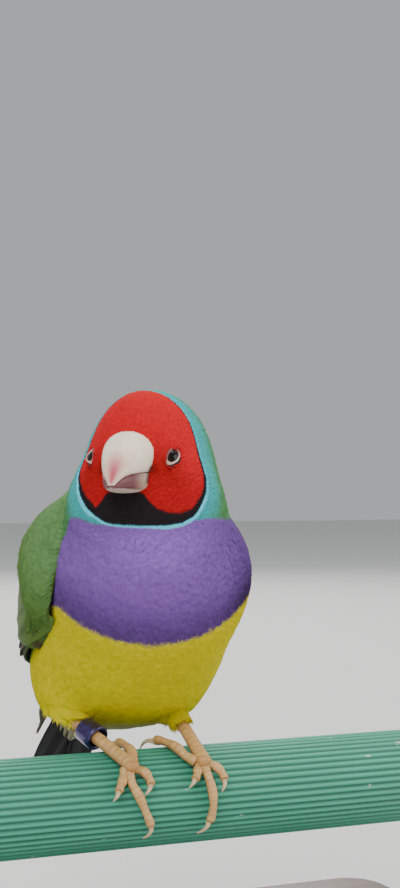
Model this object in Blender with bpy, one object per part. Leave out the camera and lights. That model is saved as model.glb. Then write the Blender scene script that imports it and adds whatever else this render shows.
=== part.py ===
"""A life-size gouldian finch on a short length of ribbed perch, held by a plain display stand.

Sizes are in millimetres and become metres as each mesh is made. The bird's own frame has its
origin on top of the perch, over the perch's axis: x to the bird's left, y to its back, z up.
"""
import math
import random

import bmesh
import bpy
import numpy as np

MM = 0.001
GAP = 0.35

# Perch: a ribbed rod that lies along x
PERCH_RADIUS = 7.0
PERCH_LENGTH = 106.0
PERCH_RIBS = 44
RIB_DEPTH = 0.28
RIB_CREST_SHARE = 0.62
PERCH_TOP = 42.0

# Stand: a flat base and two short rods under the perch
BASE_LENGTH = 118.0
BASE_DEPTH = 68.0
BASE_THICK = 8.0
BASE_BACK_SHIFT = 8.0
BASE_CORNER = 7.0
BASE_CHAMFER = 1.0
ROD_RADIUS = 2.0
ROD_OFFSET = 46.5
ROD_FOOT_RADIUS = 4.2
ROD_FOOT_THICK = 1.6

# Body: rounded masses melted into one surface, as (name, centre, radii, pitch in degrees)
BLEND = 1.7
BODY_MASSES = (
    ("breast", (-1.1, 0.3, 24.5), (14.3, 14.2, 14.5), 20),
    ("left breast", (5.2, -2.8, 26.5), (7.0, 7.2, 7.2), 0),
    ("belly", (-0.8, 7.6, 15.0), (14.0, 15.0, 11.7), 20),
    ("vent", (-0.9, 14.6, 10.6), (12.8, 10.4, 9.2), 0),
    ("rump", (0.0, 21.5, 12.0), (8.4, 15.6, 7.0), 40),
    ("back", (-0.3, 8.4, 25.6), (12.3, 9.4, 16.0), -42),
    ("neck", (-3.3, -4.6, 34.8), (10.6, 11.8, 9.0), -4),
    ("throat", (-3.2, -7.4, 31.0), (8.4, 7.6, 7.4), 0),
    ("right thigh", (-9.6, 9.4, 7.6), (4.4, 5.0, 4.4), 0),
    ("left thigh", (4.8, 7.4, 8.4), (4.4, 5.0, 4.2), 0),
)

# Head: turned to the bird's right, with masses in its own frame
HEAD_AT = np.array([-4.9, -7.7, 41.6])
HEAD_YAW = -36.0
HEAD_PITCH = -4.0
HEAD_MASSES = (
    ("skull", (0.0, -0.4, 1.5), (5.8, 7.7, 8.0), 0),
    ("crown", (0.0, 4.3, 2.3), (7.1, 6.1, 7.3), 0),
    ("nape", (0.0, 4.6, -1.5), (8.0, 6.8, 8.2), 0),
    ("left cheek", (4.3, -1.8, -5.2), (4.1, 4.8, 4.2), 0),
    ("right cheek", (-4.3, -1.8, -5.2), (4.1, 4.8, 4.2), 0),
    ("chin", (0.0, -4.4, -5.6), (4.8, 4.2, 4.4), 0),
    ("lores", (0.0, -5.4, -0.4), (2.7, 3.4, 3.9), 0),
)

# Cuts that part the torso, neck and head, as a point and the direction of the cut's face
TAIL_ROOT = np.array([0.0, 28.0, 6.5])
TAIL_SLOPE = 40.0
NECK_CUT_AT = np.array([-2.6, -5.5, 34.8])
NECK_CUT_FACING = np.array([-0.12, -0.31, 0.945])
HEAD_CUT_AT = (0.0, 0.0, -2.5)
HEAD_CUT_FACING = (0.0, -0.57, 0.82)
TORSO_SIDES = 30
TORSO_RINGS = 17
NECK_RINGS = 4
HEAD_SIDES = 30
HEAD_RINGS = 13

# Eyes: a ball in a socket, with a lid raised round a small opening
EYE_AT = {1: (4.7, -4.9, 0.7), -1: (-4.7, -4.0, 0.7)}
EYE_RADIUS = 2.2
LID_THICK = 0.55
LID_OPENING = (1.2, 1.08)
LID_RIM = 0.26
EYE_DEPTH = 2.05

# Bill: a short cone, in the head's frame. Its sizes grow from the tip by these powers.
BILL_TIP_Y = -16.9
BILL_BASE_Y = -8.6
BILL_TIP_Z = -2.3
BILL_TOP_RISE = 7.0
BILL_TOP_POWER = 0.61
BILL_HALF_WIDTH = 4.0
BILL_WIDTH_POWER = 0.63
BILL_NARROWING = 0.13
BILL_LOWER_WIDTH = 0.86
BILL_DROP = 1.35
GAPE_Z = -0.57
MOUTH_POWER = 6.0
MOUTH_GAP = 0.3
NOSTRIL_RADIUS = 0.4
NOSTRIL_ALONG = 0.96
NOSTRIL_AROUND = (0.32, 0.68)
BILL_TIP_SHARE = 0.035
BILL_LONGEST = 1.75
BILL_OUTER_LINES = 11
BILL_INNER_LINES = 3
BILL_RINGS = 9

# Wings: shells that lie on the body, placed by length along the wing and angle round the body.
# The left wing (side 1) is tucked back behind the breast, and the right one (side -1) stands out.
WING_AXIS_AT = np.array([-0.4, -2.0, 27.0])
WING_SLOPE = 37.5
WING_CLEAR = 0.5
WING_START = -3.0
WING_CORE_END = 43.0
WING_TUCK = {1: 3.0, -1: 0.0}
WING_TUCK_END = (17.0, 40.0)
LOWER_EDGE_ALONG = (-3, 0, 2, 4, 7, 13, 19, 26, 36, 46, 54, 60)
LOWER_EDGE_ANGLE = (28, 3, -6, -15, -18, -12, -6, 2, 18, 36, 52, 62)
UPPER_EDGE_ALONG = (-3, -1, 1, 4, 10, 20, 30, 40, 50, 56, 60)
UPPER_EDGE_ANGLE = (40, 52, 60, 70, 82, 85, 84, 80, 76, 73, 70)
CROWN_ALONG = (-3.0, 1.0, 6.0, 14.0, 24.0, 34.0, 43.0)
WING_CROWN = {
    1: (0.1, 0.8, 1.5, 1.25, 0.8, 0.45, 0.25),
    -1: (0.1, 1.0, 2.5, 2.3, 1.3, 0.6, 0.25),
}
VANE_THICK = 0.5
VANE_TIP_THICK = 0.32
FEATHER_SOLVER = "EXACT"

# Rows of wing feathers, each from the wing's lower edge up: the roots and tips along the wing, the
# lower edge's offset from the wing's own, the half width, and the lowest one's height and the step
PRIMARY_ROOT = 24.0
PRIMARY_TIPS = (60.0, 59.3, 57.8, 55.6, 52.9, 49.8, 46.6, 43.6)
PRIMARY_OFFSET = 0.05
PRIMARY_STRIP = 0.85
PRIMARY_HALF_WIDTH = 2.1
PRIMARY_LEVEL = (0.46, 0.15)
SECONDARY_ROOT = 9.0
SECONDARY_TIPS = (41.5, 41.0, 40.2, 39.0, 37.6, 35.6, 32.0, 27.2)
SECONDARY_OFFSETS = (1.4, 2.6, 3.9, 5.2, 6.6, 8.3, 10.2, 12.0)
SECONDARY_HALF_WIDTHS = (2.6, 2.6, 2.7, 2.8, 2.9, 3.1, 3.2, 3.0)
SECONDARY_LEVEL = (0.82, 0.16)
LOWER_COVERT_ROOT = 12.0
LOWER_COVERT_TIPS = (27.0, 25.4, 23.8)
LOWER_COVERT_OFFSETS = (0.15, 1.15, 2.15)
LOWER_COVERT_HALF_WIDTH = 1.5
LOWER_COVERT_LEVEL = (0.95, 0.16)
COVERT_ROOT = 5.0
COVERT_TIPS = (18.5, 18.15, 17.8, 17.45, 17.1, 16.75, 16.4)
COVERT_OFFSET = -0.2
COVERT_STRIP = 3.05
COVERT_HALF_WIDTH = 2.4
COVERT_LEVEL = (1.42, 0.05)
TAIL_SLEEVE = ("tail sleeve", (0.0, 44.0, -6.9), (6.4, 25.0, 4.4), 40)

# Tail
TAIL_LENGTHS = (50.0, 37.5, 35.2, 32.6, 29.8, 26.8)
TAIL_SPREAD = (0.55, 1.35, 2.05, 2.7, 3.3, 3.85)
TAIL_LAYER = 0.34
TAIL_TOP = 0.75
TAIL_SIDE_STEP = 0.11
TAIL_FEATHER_ROOT = 3.0
TAIL_HALF_WIDTH = 2.3
TAIL_CORE = ((4.0, 4.2, 1.9), (9.0, 3.9, 1.3), (15.0, 3.3, 0.7))
# The coverts: how many, their lanes' width, and for each side of the tail the middle one's tip, how
# much shorter the next ones are, the half width, the middle one's rise and its droop to the tip
TAIL_COVERTS = 5
TAIL_COVERT_LANE = 1.2
UPPER_TAIL_COVERT = (14.5, 1.1, 1.7, 1.75, -0.35)
UNDER_TAIL_COVERT = (17.5, 1.3, 1.8, -1.75, 0.2)

# Legs and feet
TARSUS_RADIUS = 0.92
TARSUS_START = 1.9
TOE_RADIUS = 0.72
CLAW_TIP_RADIUS = 0.12
RING_ALONG = 9.0
RING_INNER = 1.36
RING_OUTER = 1.88
RING_HEIGHT = 3.6
LEGS = {
    "right": {
        "ball": (-6.4, -6.5, -0.72),
        "along": (-0.337, 0.867, 0.367),
        "toes": {
            "middle": (
                (50, -6.6), (64, -6.3), (77, -5.5), (90, -4.7), (107, -3.7), (114, -3.7), (124, -4.4),
            ),
            "inner": ((46, -6.0), (51, -4.4), (60, -3.6), (68, -3.7), (76, -4.6)),
            "outer": ((48, -7.0), (58, -7.6), (65, -8.1), (72, -8.6), (79, -9.3)),
            "hind": (
                (46, -5.8), (36, -5.2), (24, -5.0), (8, -5.1), (-8, -5.4), (-24, -5.8), (-38, -6.1),
            ),
        },
    },
    "left": {
        "ball": (4.9, -6.3, -0.78),
        "along": (-0.02, 0.882, 0.471),
        "toes": {
            "middle": ((50, 5.0), (62, 5.4), (79, 5.7), (92, 5.8), (108, 5.4), (115, 4.9), (124, 3.9)),
            "inner": ((47, 4.6), (54, 4.0), (60, 3.7), (66, 3.1), (72, 2.3)),
            "outer": ((46, 5.4), (52, 6.8), (61, 7.7), (69, 7.8), (79, 7.3)),
            "hind": ((46, 4.0), (36, 2.8), (24, 2.1), (8, 1.3), (-8, 0.5), (-24, -0.2), (-38, -0.6)),
        },
    },
}


def turn(pitch=0.0, yaw=0.0):
    """The axes, as columns, of a frame whose front is lifted by pitch and then turned by yaw."""
    lift = math.radians(pitch)
    swing = math.radians(yaw)
    lifted = np.array([
        [1.0, 0.0, 0.0],
        [0.0, math.cos(lift), math.sin(lift)],
        [0.0, -math.sin(lift), math.cos(lift)],
    ])
    swung = np.array([
        [math.cos(swing), -math.sin(swing), 0.0],
        [math.sin(swing), math.cos(swing), 0.0],
        [0.0, 0.0, 1.0],
    ])
    return swung @ lifted


def unit(vectors):
    """The same directions at length one."""
    vectors = np.asarray(vectors, float)
    return vectors / np.linalg.norm(vectors, axis=-1, keepdims=True)


HEAD_FRAME = turn(HEAD_PITCH, HEAD_YAW)
TAIL_WAY = np.array([0.0, math.cos(math.radians(TAIL_SLOPE)), -math.sin(math.radians(TAIL_SLOPE))])
WING_WAY = np.array([0.0, math.cos(math.radians(WING_SLOPE)), -math.sin(math.radians(WING_SLOPE))])
TAIL_UP = np.array([0.0, math.sin(math.radians(TAIL_SLOPE)), math.cos(math.radians(TAIL_SLOPE))])


def in_head(point):
    """A place in the head's frame, taken into the bird's."""
    return HEAD_AT + np.asarray(point, float) @ HEAD_FRAME.T


def placed(masses, at, frame):
    """The masses' centres, radii and axes in the bird's frame."""
    return [
        (at + frame @ np.array(centre), np.array(radii), frame @ turn(pitch))
        for _, centre, radii, pitch in masses
    ]


SURFACE = placed(BODY_MASSES, np.zeros(3), np.eye(3)) + placed(HEAD_MASSES, HEAD_AT, HEAD_FRAME)
GUIDE = SURFACE + placed((TAIL_SLEEVE,), np.zeros(3), np.eye(3))


def height(points, masses=SURFACE):
    """How far each point is above the melted surface of the masses, and below it where negative."""
    near = 0.0
    for centre, radii, axes in masses:
        local = (points - centre) @ axes
        scaled = np.linalg.norm(local / radii, axis=-1)
        steep = np.linalg.norm(local / radii**2, axis=-1)
        away = scaled * (scaled - 1.0) / np.maximum(steep, 1e-9)
        near = near + np.exp(-np.clip(away, -30.0, 60.0) / BLEND)
    return -BLEND * np.log(np.maximum(near, 1e-30))


def slope(points, masses=SURFACE):
    """The upward direction of the height, by differences."""
    step = 0.02
    parts = []
    for axis in np.eye(3):
        parts.append(height(points + axis * step, masses) - height(points - axis * step, masses))
    return np.stack(parts, axis=-1) / (2.0 * step)


def lifted_to(points, level, masses):
    """The points moved along the slope until they stand at this height."""
    for _ in range(6):
        rise = slope(points, masses)
        short = level - height(points, masses)
        points = points + rise * (short / (rise**2).sum(axis=-1))[..., None]
    return points


def reach(origins, directions, level=0.0, masses=SURFACE, far=40.0):
    """The distance along each direction, from inside, at which the height passes level."""
    low = np.zeros(np.broadcast(origins, directions).shape[:-1])
    high = np.full(low.shape, far)
    for _ in range(34):
        middle = (low + high) / 2.0
        inside = height(origins + directions * middle[..., None], masses) < level
        low = np.where(inside, middle, low)
        high = np.where(inside, high, middle)
    return low


def section(centre, facing, sides, masses=SURFACE):
    """The ring in which a plane meets the body's surface."""
    facing = unit(facing)
    across = unit(np.array([1.0, 0.0, 0.0]) - facing * facing[0])
    over = np.cross(facing, across)
    angles = np.arange(sides) * 2.0 * math.pi / sides
    ways = np.cos(angles)[:, None] * across + np.sin(angles)[:, None] * over
    return centre + ways * reach(centre, ways, 0.0, masses)[:, None]


def smooth_path(points, count):
    """Points along a smooth curve through the given ones."""
    points = np.asarray(points, float)
    padded = np.vstack([2 * points[0] - points[1], points, 2 * points[-1] - points[-2]])
    place = np.linspace(0.0, len(points) - 1.0, count)
    first = np.minimum(place.astype(int), len(points) - 2)
    share = (place - first)[:, None]
    a, b, c, d = (padded[first + step] for step in range(4))
    bend = (2 * a - 5 * b + 4 * c - d) * share**2 + (3 * b - a - 3 * c + d) * share**3
    return b + 0.5 * ((c - a) * share + bend)


def loft(rings, start=None, end=None):
    """Points and faces of a closed skin over rings, each end a flat face or drawn to a point."""
    rings = [np.asarray(ring, float) for ring in rings]
    sides = len(rings[0])
    points = np.vstack(rings)
    faces = []
    for level in range(len(rings) - 1):
        for side in range(sides):
            after = (side + 1) % sides
            low = level * sides
            high = low + sides
            faces.append((low + side, low + after, high + after, high + side))
    last = (len(rings) - 1) * sides
    for tip, base in ((start, 0), (end, last)):
        edge = [base + side for side in range(sides)]
        if tip is None:
            faces.append(tuple(edge))
            continue
        points = np.vstack([points, tip])
        for side in range(sides):
            faces.append((edge[side], edge[(side + 1) % sides], len(points) - 1))
    return points, faces


def tube(path, radii, sides, squash=1.0):
    """A round bar along a path with a rounded point at each end, as rings for loft and two tips."""
    path = np.asarray(path, float)
    ways = unit(np.gradient(path, axis=0))
    hint = np.array([1.0, 0.0, 0.0])
    if abs(ways[0] @ hint) > 0.8:
        hint = np.array([0.0, 0.0, 1.0])
    rings = []
    for centre, way, radius in zip(path, ways, radii):
        across = unit(hint - way * (hint @ way))
        over = np.cross(way, across)
        angles = np.arange(sides) * 2.0 * math.pi / sides
        spread = np.cos(angles)[:, None] * across + squash * np.sin(angles)[:, None] * over
        rings.append(centre + radius * spread)
    start = path[0] - ways[0] * radii[0] * 0.5
    end = path[-1] + ways[-1] * radii[-1] * 0.5
    return loft(rings, start, end)


def material(name, colour, roughness, metallic=0.0):
    """A plain painted surface in this colour."""
    made = bpy.data.materials.new(name)
    made.use_nodes = True
    shader = made.node_tree.nodes["Principled BSDF"]
    shader.inputs["Base Color"].default_value = (*colour, 1.0)
    shader.inputs["Roughness"].default_value = roughness
    shader.inputs["Metallic"].default_value = metallic
    return made


def add(name, shape, finish=None, parent=None, smooth_angle=40.0):
    """An object from points in millimetres and faces, with its faces turned outwards."""
    points, faces = shape
    mesh = bpy.data.meshes.new(name)
    mesh.from_pydata((np.asarray(points) * MM).tolist(), [], faces)
    work = bmesh.new()
    work.from_mesh(mesh)
    bmesh.ops.recalc_face_normals(work, faces=work.faces)
    if work.calc_volume(signed=True) < 0.0:
        bmesh.ops.reverse_faces(work, faces=work.faces)
    work.to_mesh(mesh)
    work.free()
    mesh.shade_smooth()
    mesh.set_sharp_from_angle(angle=math.radians(smooth_angle))
    made = bpy.data.objects.new(name, mesh)
    bpy.context.scene.collection.objects.link(made)
    made.parent = parent
    if finish is not None:
        mesh.materials.append(finish)
    return made


def largest_body(mesh):
    """Only the largest closed surface of the mesh is kept."""
    work = bmesh.new()
    work.from_mesh(mesh)
    unseen = set(work.verts)
    bodies = []
    while unseen:
        first = unseen.pop()
        body = {first}
        edge_of_body = [first]
        while edge_of_body:
            vert = edge_of_body.pop()
            for edge in vert.link_edges:
                other = edge.other_vert(vert)
                if other in unseen:
                    unseen.discard(other)
                    body.add(other)
                    edge_of_body.append(other)
        spread = np.ptp(np.array([vert.co for vert in body]), axis=0)
        bodies.append((float(np.linalg.norm(spread)), body))
    bodies.sort(key=lambda entry: entry[0])
    scraps = [vert for _, body in bodies[:-1] for vert in body]
    bmesh.ops.delete(work, geom=scraps, context="VERTS")
    bmesh.ops.triangulate(work, faces=work.faces)
    work.to_mesh(mesh)
    work.free()


def combine(target, shapes, operation, solver="EXACT"):
    """One Boolean of the target with closed shapes, applied, after which the shapes are removed."""
    group = bpy.data.collections.new("pieces")
    bpy.context.scene.collection.children.link(group)
    for number, shape in enumerate(shapes):
        piece = add(f"piece_{number}", shape, parent=target.parent)
        bpy.context.scene.collection.objects.unlink(piece)
        group.objects.link(piece)
    fusing = target.modifiers.new("combine", "BOOLEAN")
    fusing.operation = operation
    fusing.operand_type = "COLLECTION"
    fusing.collection = group
    fusing.solver = solver
    bpy.context.view_layer.update()
    graph = bpy.context.evaluated_depsgraph_get()
    fused = bpy.data.meshes.new_from_object(target.evaluated_get(graph))
    target.modifiers.clear()
    target.data = fused
    for piece in list(group.objects):
        bpy.data.objects.remove(piece)
    bpy.data.collections.remove(group)
    largest_body(target.data)


def ball(centre, radii, axes=None, rings=8, sides=14):
    """A closed rounded shape."""
    axes = np.eye(3) if axes is None else axes
    around = np.arange(sides) * 2.0 * math.pi / sides
    levels = []
    for step in range(1, rings):
        polar = math.pi * step / rings
        local = np.stack([
            math.sin(polar) * np.cos(around),
            math.sin(polar) * np.sin(around),
            np.full(sides, math.cos(polar)),
        ], axis=-1)
        levels.append(centre + (local * radii) @ axes.T)
    top = centre + axes[:, 2] * radii[2]
    bottom = centre - axes[:, 2] * radii[2]
    return loft(levels, top, bottom)


def body_planes():
    """The planes of the torso's rings, from the tail's root to the neck."""
    at = np.array([TAIL_ROOT, (-0.4, 18.5, 12.8), (-0.6, 8.5, 19.6), (-1.2, 0.5, 27.2), NECK_CUT_AT])
    facing = np.array([
        -TAIL_WAY,
        (0.0, -0.766, 0.643),
        (0.0, -0.72, 0.69),
        (-0.04, -0.53, 0.84),
        NECK_CUT_FACING,
    ])
    return smooth_path(at, TORSO_RINGS), unit(smooth_path(facing, TORSO_RINGS))


def make_torso(finish, parent):
    """Breast, belly, back and rump, between the tail's root and the neck."""
    centres, facings = body_planes()
    rings = [section(at, facing, TORSO_SIDES) for at, facing in zip(centres, facings)]
    add("torso", loft(rings), finish, parent)


def make_neck(finish, parent):
    """The hood's collar, between the torso and the head."""
    low_facing = unit(NECK_CUT_FACING)
    high_facing = unit(HEAD_FRAME @ np.array(HEAD_CUT_FACING))
    low = NECK_CUT_AT + low_facing * GAP
    high = in_head(HEAD_CUT_AT) - high_facing * GAP
    rings = []
    for share in np.linspace(0.0, 1.0, NECK_RINGS):
        at = low * (1.0 - share) + high * share
        facing = low_facing * (1.0 - share) + high_facing * share
        rings.append(section(at, facing, TORSO_SIDES))
    add("neck", loft(rings), finish, parent)


def eye_place(side):
    """The eye's centre and its outward direction, for side 1 on the left or -1 on the right."""
    surface_point = in_head(EYE_AT[side])
    surface_point = lifted_to(surface_point[None], 0.0, SURFACE)[0]
    outward = unit(slope(surface_point[None])[0])
    return surface_point - outward * EYE_DEPTH, outward


def eye_axes(outward):
    """Axes with z outward and x along the slit of the lids."""
    forward = HEAD_FRAME @ np.array([0.0, -1.0, 0.25])
    along = unit(forward - outward * (forward @ outward))
    return np.stack([along, np.cross(outward, along), outward], axis=-1)


def lid_rim(centre, axes, sides=20, round_sides=6):
    """The raised ring of bare skin round the lids' opening."""
    lid_radius = EYE_RADIUS + GAP + LID_THICK
    rings = []
    for number in range(sides):
        angle = 2.0 * math.pi * number / sides
        wide = (LID_OPENING[0] + LID_RIM) * math.cos(angle)
        tall = (LID_OPENING[1] + LID_RIM) * math.sin(angle)
        deep = math.sqrt(lid_radius**2 - wide**2 - tall**2)
        middle = np.array([wide, tall, deep])
        outwards = unit(np.array([wide, tall, 0.0]))
        upwards = np.array([0.0, 0.0, 1.0])
        turns = np.arange(round_sides) * 2.0 * math.pi / round_sides
        local = middle + LID_RIM * (
            np.cos(turns)[:, None] * outwards + np.sin(turns)[:, None] * upwards
        )
        rings.append(centre + local @ axes.T)
    points = np.vstack(rings)
    faces = []
    for number in range(sides):
        for step in range(round_sides):
            here = number * round_sides
            there = (number + 1) % sides * round_sides
            after = (step + 1) % round_sides
            faces.append((here + step, here + after, there + after, there + step))
    return points, faces


def make_head(finish, parent):
    """The head, with sockets, lids and its flat cut to the neck."""
    facing = unit(HEAD_FRAME @ np.array(HEAD_CUT_FACING))
    foot = in_head(HEAD_CUT_AT)
    rise = float(reach(foot, facing))
    rings = []
    for step in range(HEAD_RINGS):
        share = math.sin(0.5 * math.pi * step / HEAD_RINGS)
        rings.append(section(foot + facing * rise * share, facing, HEAD_SIDES))
    head = add("head", loft(rings, None, foot + facing * rise), finish, parent)
    lids = []
    hollows = []
    for side in (1, -1):
        centre, outward = eye_place(side)
        axes = eye_axes(outward)
        lid_radius = EYE_RADIUS + GAP + LID_THICK
        socket_radius = EYE_RADIUS + GAP
        lids.append(ball(centre, np.full(3, lid_radius), axes, 10, 18))
        lids.append(lid_rim(centre, axes))
        hollows.append(ball(centre, np.full(3, socket_radius), axes, 9, 16))
        opening = [
            centre + np.stack([
                LID_OPENING[0] * np.cos(np.arange(16) * math.pi / 8),
                LID_OPENING[1] * np.sin(np.arange(16) * math.pi / 8),
                np.full(16, deep),
            ], axis=-1) @ axes.T
            for deep in (EYE_RADIUS * 0.5, EYE_RADIUS + 3.0)
        ]
        hollows.append(loft(opening))
    combine(head, lids, "UNION")
    combine(head, hollows, "DIFFERENCE")


def make_eyes(finish, parent):
    """The eyeballs, clear of their sockets."""
    for side, name in ((1, "eye_left"), (-1, "eye_right")):
        centre, outward = eye_place(side)
        add(name, ball(centre, np.full(3, EYE_RADIUS), eye_axes(outward), 8, 14), finish, parent)


def bill_section(along):
    """Half width, top, mouth line and bottom of the bill at along, 0 at the tip and 1 at the base."""
    along = np.asarray(along, float)
    half_width = BILL_HALF_WIDTH * along**BILL_WIDTH_POWER
    top = BILL_TIP_Z + BILL_TOP_RISE * along**BILL_TOP_POWER
    before_gape = np.clip(1.0 - along, 0.0, 1.0)
    mouth = GAPE_Z - (GAPE_Z - BILL_TIP_Z) * before_gape**MOUTH_POWER
    bottom = BILL_TIP_Z - BILL_DROP * along
    return half_width, top, mouth, bottom


def bill_point(along, around, upper):
    """A point of a mandible's outside: around runs from 0 on the left edge to 1 on the right."""
    half_width, top, mouth, bottom = bill_section(along)
    sine = np.sin(math.pi * around)
    cosine = np.cos(math.pi * around)
    y = BILL_TIP_Y + (BILL_BASE_Y - BILL_TIP_Y) * along
    if upper:
        edge = mouth + MOUTH_GAP / 2.0
        rise = (top - edge) * sine**0.85
        x = half_width * cosine * (1.0 - BILL_NARROWING * (1.0 - sine) ** 2)
    else:
        edge = mouth - MOUTH_GAP / 2.0
        rise = (bottom - edge) * sine**0.55
        x = BILL_LOWER_WIDTH * half_width * cosine
    return in_head(np.stack([x, y, edge + rise], axis=-1))


def mouth_point(along, across, upper):
    """A point of a mandible's flat side: across runs from 1 on the left edge to -1 on the right."""
    half_width, _, mouth, _ = bill_section(along)
    narrow = 1.0 - BILL_NARROWING if upper else BILL_LOWER_WIDTH
    edge = mouth + (MOUTH_GAP / 2.0 if upper else -MOUTH_GAP / 2.0)
    y = BILL_TIP_Y + (BILL_BASE_Y - BILL_TIP_Y) * along
    return in_head(np.stack([half_width * narrow * across, y, edge], axis=-1))


def base_of(place_at):
    """Where a line of the bill, given as a function of along, comes to the gap before the face."""
    low = BILL_TIP_SHARE
    high = BILL_LONGEST
    for _ in range(30):
        middle = (low + high) / 2.0
        if height(place_at(middle)[None])[0] > GAP:
            low = middle
        else:
            high = middle
    return low


def reach_in(points, direction, level=GAP):
    """The distance along a direction, from outside, at which the height falls to level."""
    low = np.zeros(len(points))
    high = np.full(len(points), 14.0)
    for _ in range(30):
        middle = (low + high) / 2.0
        outside = height(points + direction * middle[:, None]) > level
        low = np.where(outside, middle, low)
        high = np.where(outside, high, middle)
    return low


def make_mandible(name, upper, finish, parent):
    """Half of the bill, its base parallel to the face and its edge along the mouth line."""
    lines = []
    for around in np.linspace(0.0, 1.0, BILL_OUTER_LINES):
        lines.append(lambda along, around=around: bill_point(along, around, upper))
    for across in np.linspace(-1.0, 1.0, BILL_INNER_LINES + 2)[1:-1]:
        lines.append(lambda along, across=across: mouth_point(along, across, upper))
    bases = [base_of(line) for line in lines]
    rings = []
    for share in np.linspace(0.0, 1.0, BILL_RINGS) ** 0.8:
        ring = [line(base + (BILL_TIP_SHARE - base) * share) for line, base in zip(lines, bases)]
        rings.append(np.array(ring))
    middle = rings[0].mean(axis=0)
    back = unit(HEAD_FRAME @ np.array([0.0, 1.0, 0.0]))
    clear_front = middle - back * 4.0
    root_ring = clear_front + (rings[0] - middle) * 0.5
    root_ring = root_ring + back * reach_in(root_ring, back)[:, None]
    start = clear_front + back * float(reach_in(clear_front[None], back)[0])
    rings.insert(0, root_ring)
    tip = rings[-1].mean(axis=0) - back * 0.25
    return add(name, loft(rings, start, tip), finish, parent)


def make_bill(finish, parent):
    """Both mandibles, with the nostrils sunk at the base of the upper one."""
    upper = make_mandible("bill_upper", True, finish, parent)
    make_mandible("bill_lower", False, finish, parent)
    pits = []
    pit_radii = NOSTRIL_RADIUS * np.array([1.0, 1.3, 1.0])
    for around in NOSTRIL_AROUND:
        pits.append(ball(bill_point(NOSTRIL_ALONG, around, True), pit_radii, HEAD_FRAME, 5, 8))
    combine(upper, pits, "DIFFERENCE")


def wing_edges(along):
    """Lower and upper edge of the folded wing, as angles round the body in degrees."""
    lower = np.interp(along, LOWER_EDGE_ALONG, LOWER_EDGE_ANGLE)
    upper = np.interp(along, UPPER_EDGE_ALONG, UPPER_EDGE_ANGLE)
    return lower, upper


def wing_axis(along, side):
    """Places on the wing's axis, moved back where the wing is tucked."""
    along = along + WING_TUCK[side] * np.interp(along, WING_TUCK_END, (1.0, 0.0))
    return WING_AXIS_AT + along[..., None] * WING_WAY


def wing_point(along, angle, level, side):
    """A place on the wing, at this height above the body and tail."""
    over = np.array([0.0, -WING_WAY[2], WING_WAY[1]])
    along, angle, level = np.broadcast_arrays(along, np.radians(angle), level)
    centres = wing_axis(along, side)
    ways = np.cos(angle)[..., None] * np.array([side, 0.0, 0.0]) + np.sin(angle)[..., None] * over
    out = reach(centres, ways, level, GUIDE)
    return centres + ways * out[..., None]


def wing_crown(along, angle, side):
    """How far the wing's pad swells, from nothing at its edges to most along its middle."""
    lower, upper = wing_edges(along)
    across = np.clip((angle - lower) / (upper - lower), 0.0, 1.0)
    return np.sin(math.pi * across) ** 0.6 * np.interp(along, CROWN_ALONG, WING_CROWN[side])


def sheet(under, over):
    """A closed sheet between two grids of points, split into triangles alike on both faces."""
    rows, columns = under.shape[:2]
    points = np.vstack([under.reshape(-1, 3), over.reshape(-1, 3)])
    top = rows * columns
    faces = []
    for row in range(rows - 1):
        for column in range(columns - 1):
            a = row * columns + column
            b = a + 1
            c = a + columns
            d = c + 1
            faces += [(a, b, d), (a, d, c)]
            faces += [(top + a, top + d, top + b), (top + a, top + c, top + d)]
    rim = [column for column in range(columns)]
    rim += [row * columns + columns - 1 for row in range(1, rows)]
    rim += [(rows - 1) * columns + column for column in range(columns - 2, -1, -1)]
    rim += [row * columns for row in range(rows - 2, 0, -1)]
    for here, there in zip(rim, rim[1:] + rim[:1]):
        faces += [(here, top + here, there), (there, top + here, top + there)]
    return points, faces


def wing_core(side):
    """The pad under the coverts, which every feather of the folded wing grows from."""
    rows = np.linspace(WING_START, WING_CORE_END, 16)
    across = np.linspace(0.0, 1.0, 8)
    lower, upper = wing_edges(rows)
    angles = lower[:, None] + (upper - lower)[:, None] * across
    along = np.broadcast_to(rows[:, None], angles.shape)
    top = WING_CLEAR + VANE_THICK + wing_crown(along, angles, side)
    under = wing_point(along, angles, np.full(angles.shape, WING_CLEAR), side)
    return sheet(under, wing_point(along, angles, top, side))


def wing_vane(side, root, tip, offset, half_width, level, blunt, rows=6):
    """One feather of the wing, its root sunk in the core and its lower edge uppermost."""
    share = np.linspace(0.0, 1.0, rows) ** 0.8
    along = root + (tip - root) * share
    lower, upper = wing_edges(along)
    middle = wing_point(along, (lower + upper) / 2.0, WING_CLEAR, side)
    girth = np.linalg.norm(middle - wing_axis(along, side), axis=-1)
    tip_width = (0.5 + 0.4 * blunt, 0.1 + 0.25 * blunt)
    half = half_width * np.interp(share, (0.0, 0.25, 0.7, 0.9, 1.0), (0.7, 1.0, 1.0, *tip_width))
    place = lower + np.degrees((offset + half_width) / girth)
    angles = place[:, None] + np.degrees(half / girth)[:, None] * np.array([-1.0, 0.0, 1.0])
    angles = np.minimum(angles, upper[:, None] - np.array([5.0, 2.5, 0.0]))
    grid = np.broadcast_to(along[:, None], angles.shape)
    sink = 0.55 * np.clip(1.0 - share / 0.45, 0.0, 1.0) ** 2
    fuller = wing_crown(grid, angles, side) - wing_crown(grid, angles, 1)
    heights = level - sink[:, None] + np.array([0.0, -0.06, -0.22]) + fuller
    heights = np.maximum(heights, WING_CLEAR + 0.06)
    thick = np.interp(share, (0.0, 0.8, 1.0), (VANE_THICK, VANE_THICK, VANE_TIP_THICK))[:, None]
    under = wing_point(grid, angles, heights, side)
    return sheet(under, wing_point(grid, angles, heights + thick, side))


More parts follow.
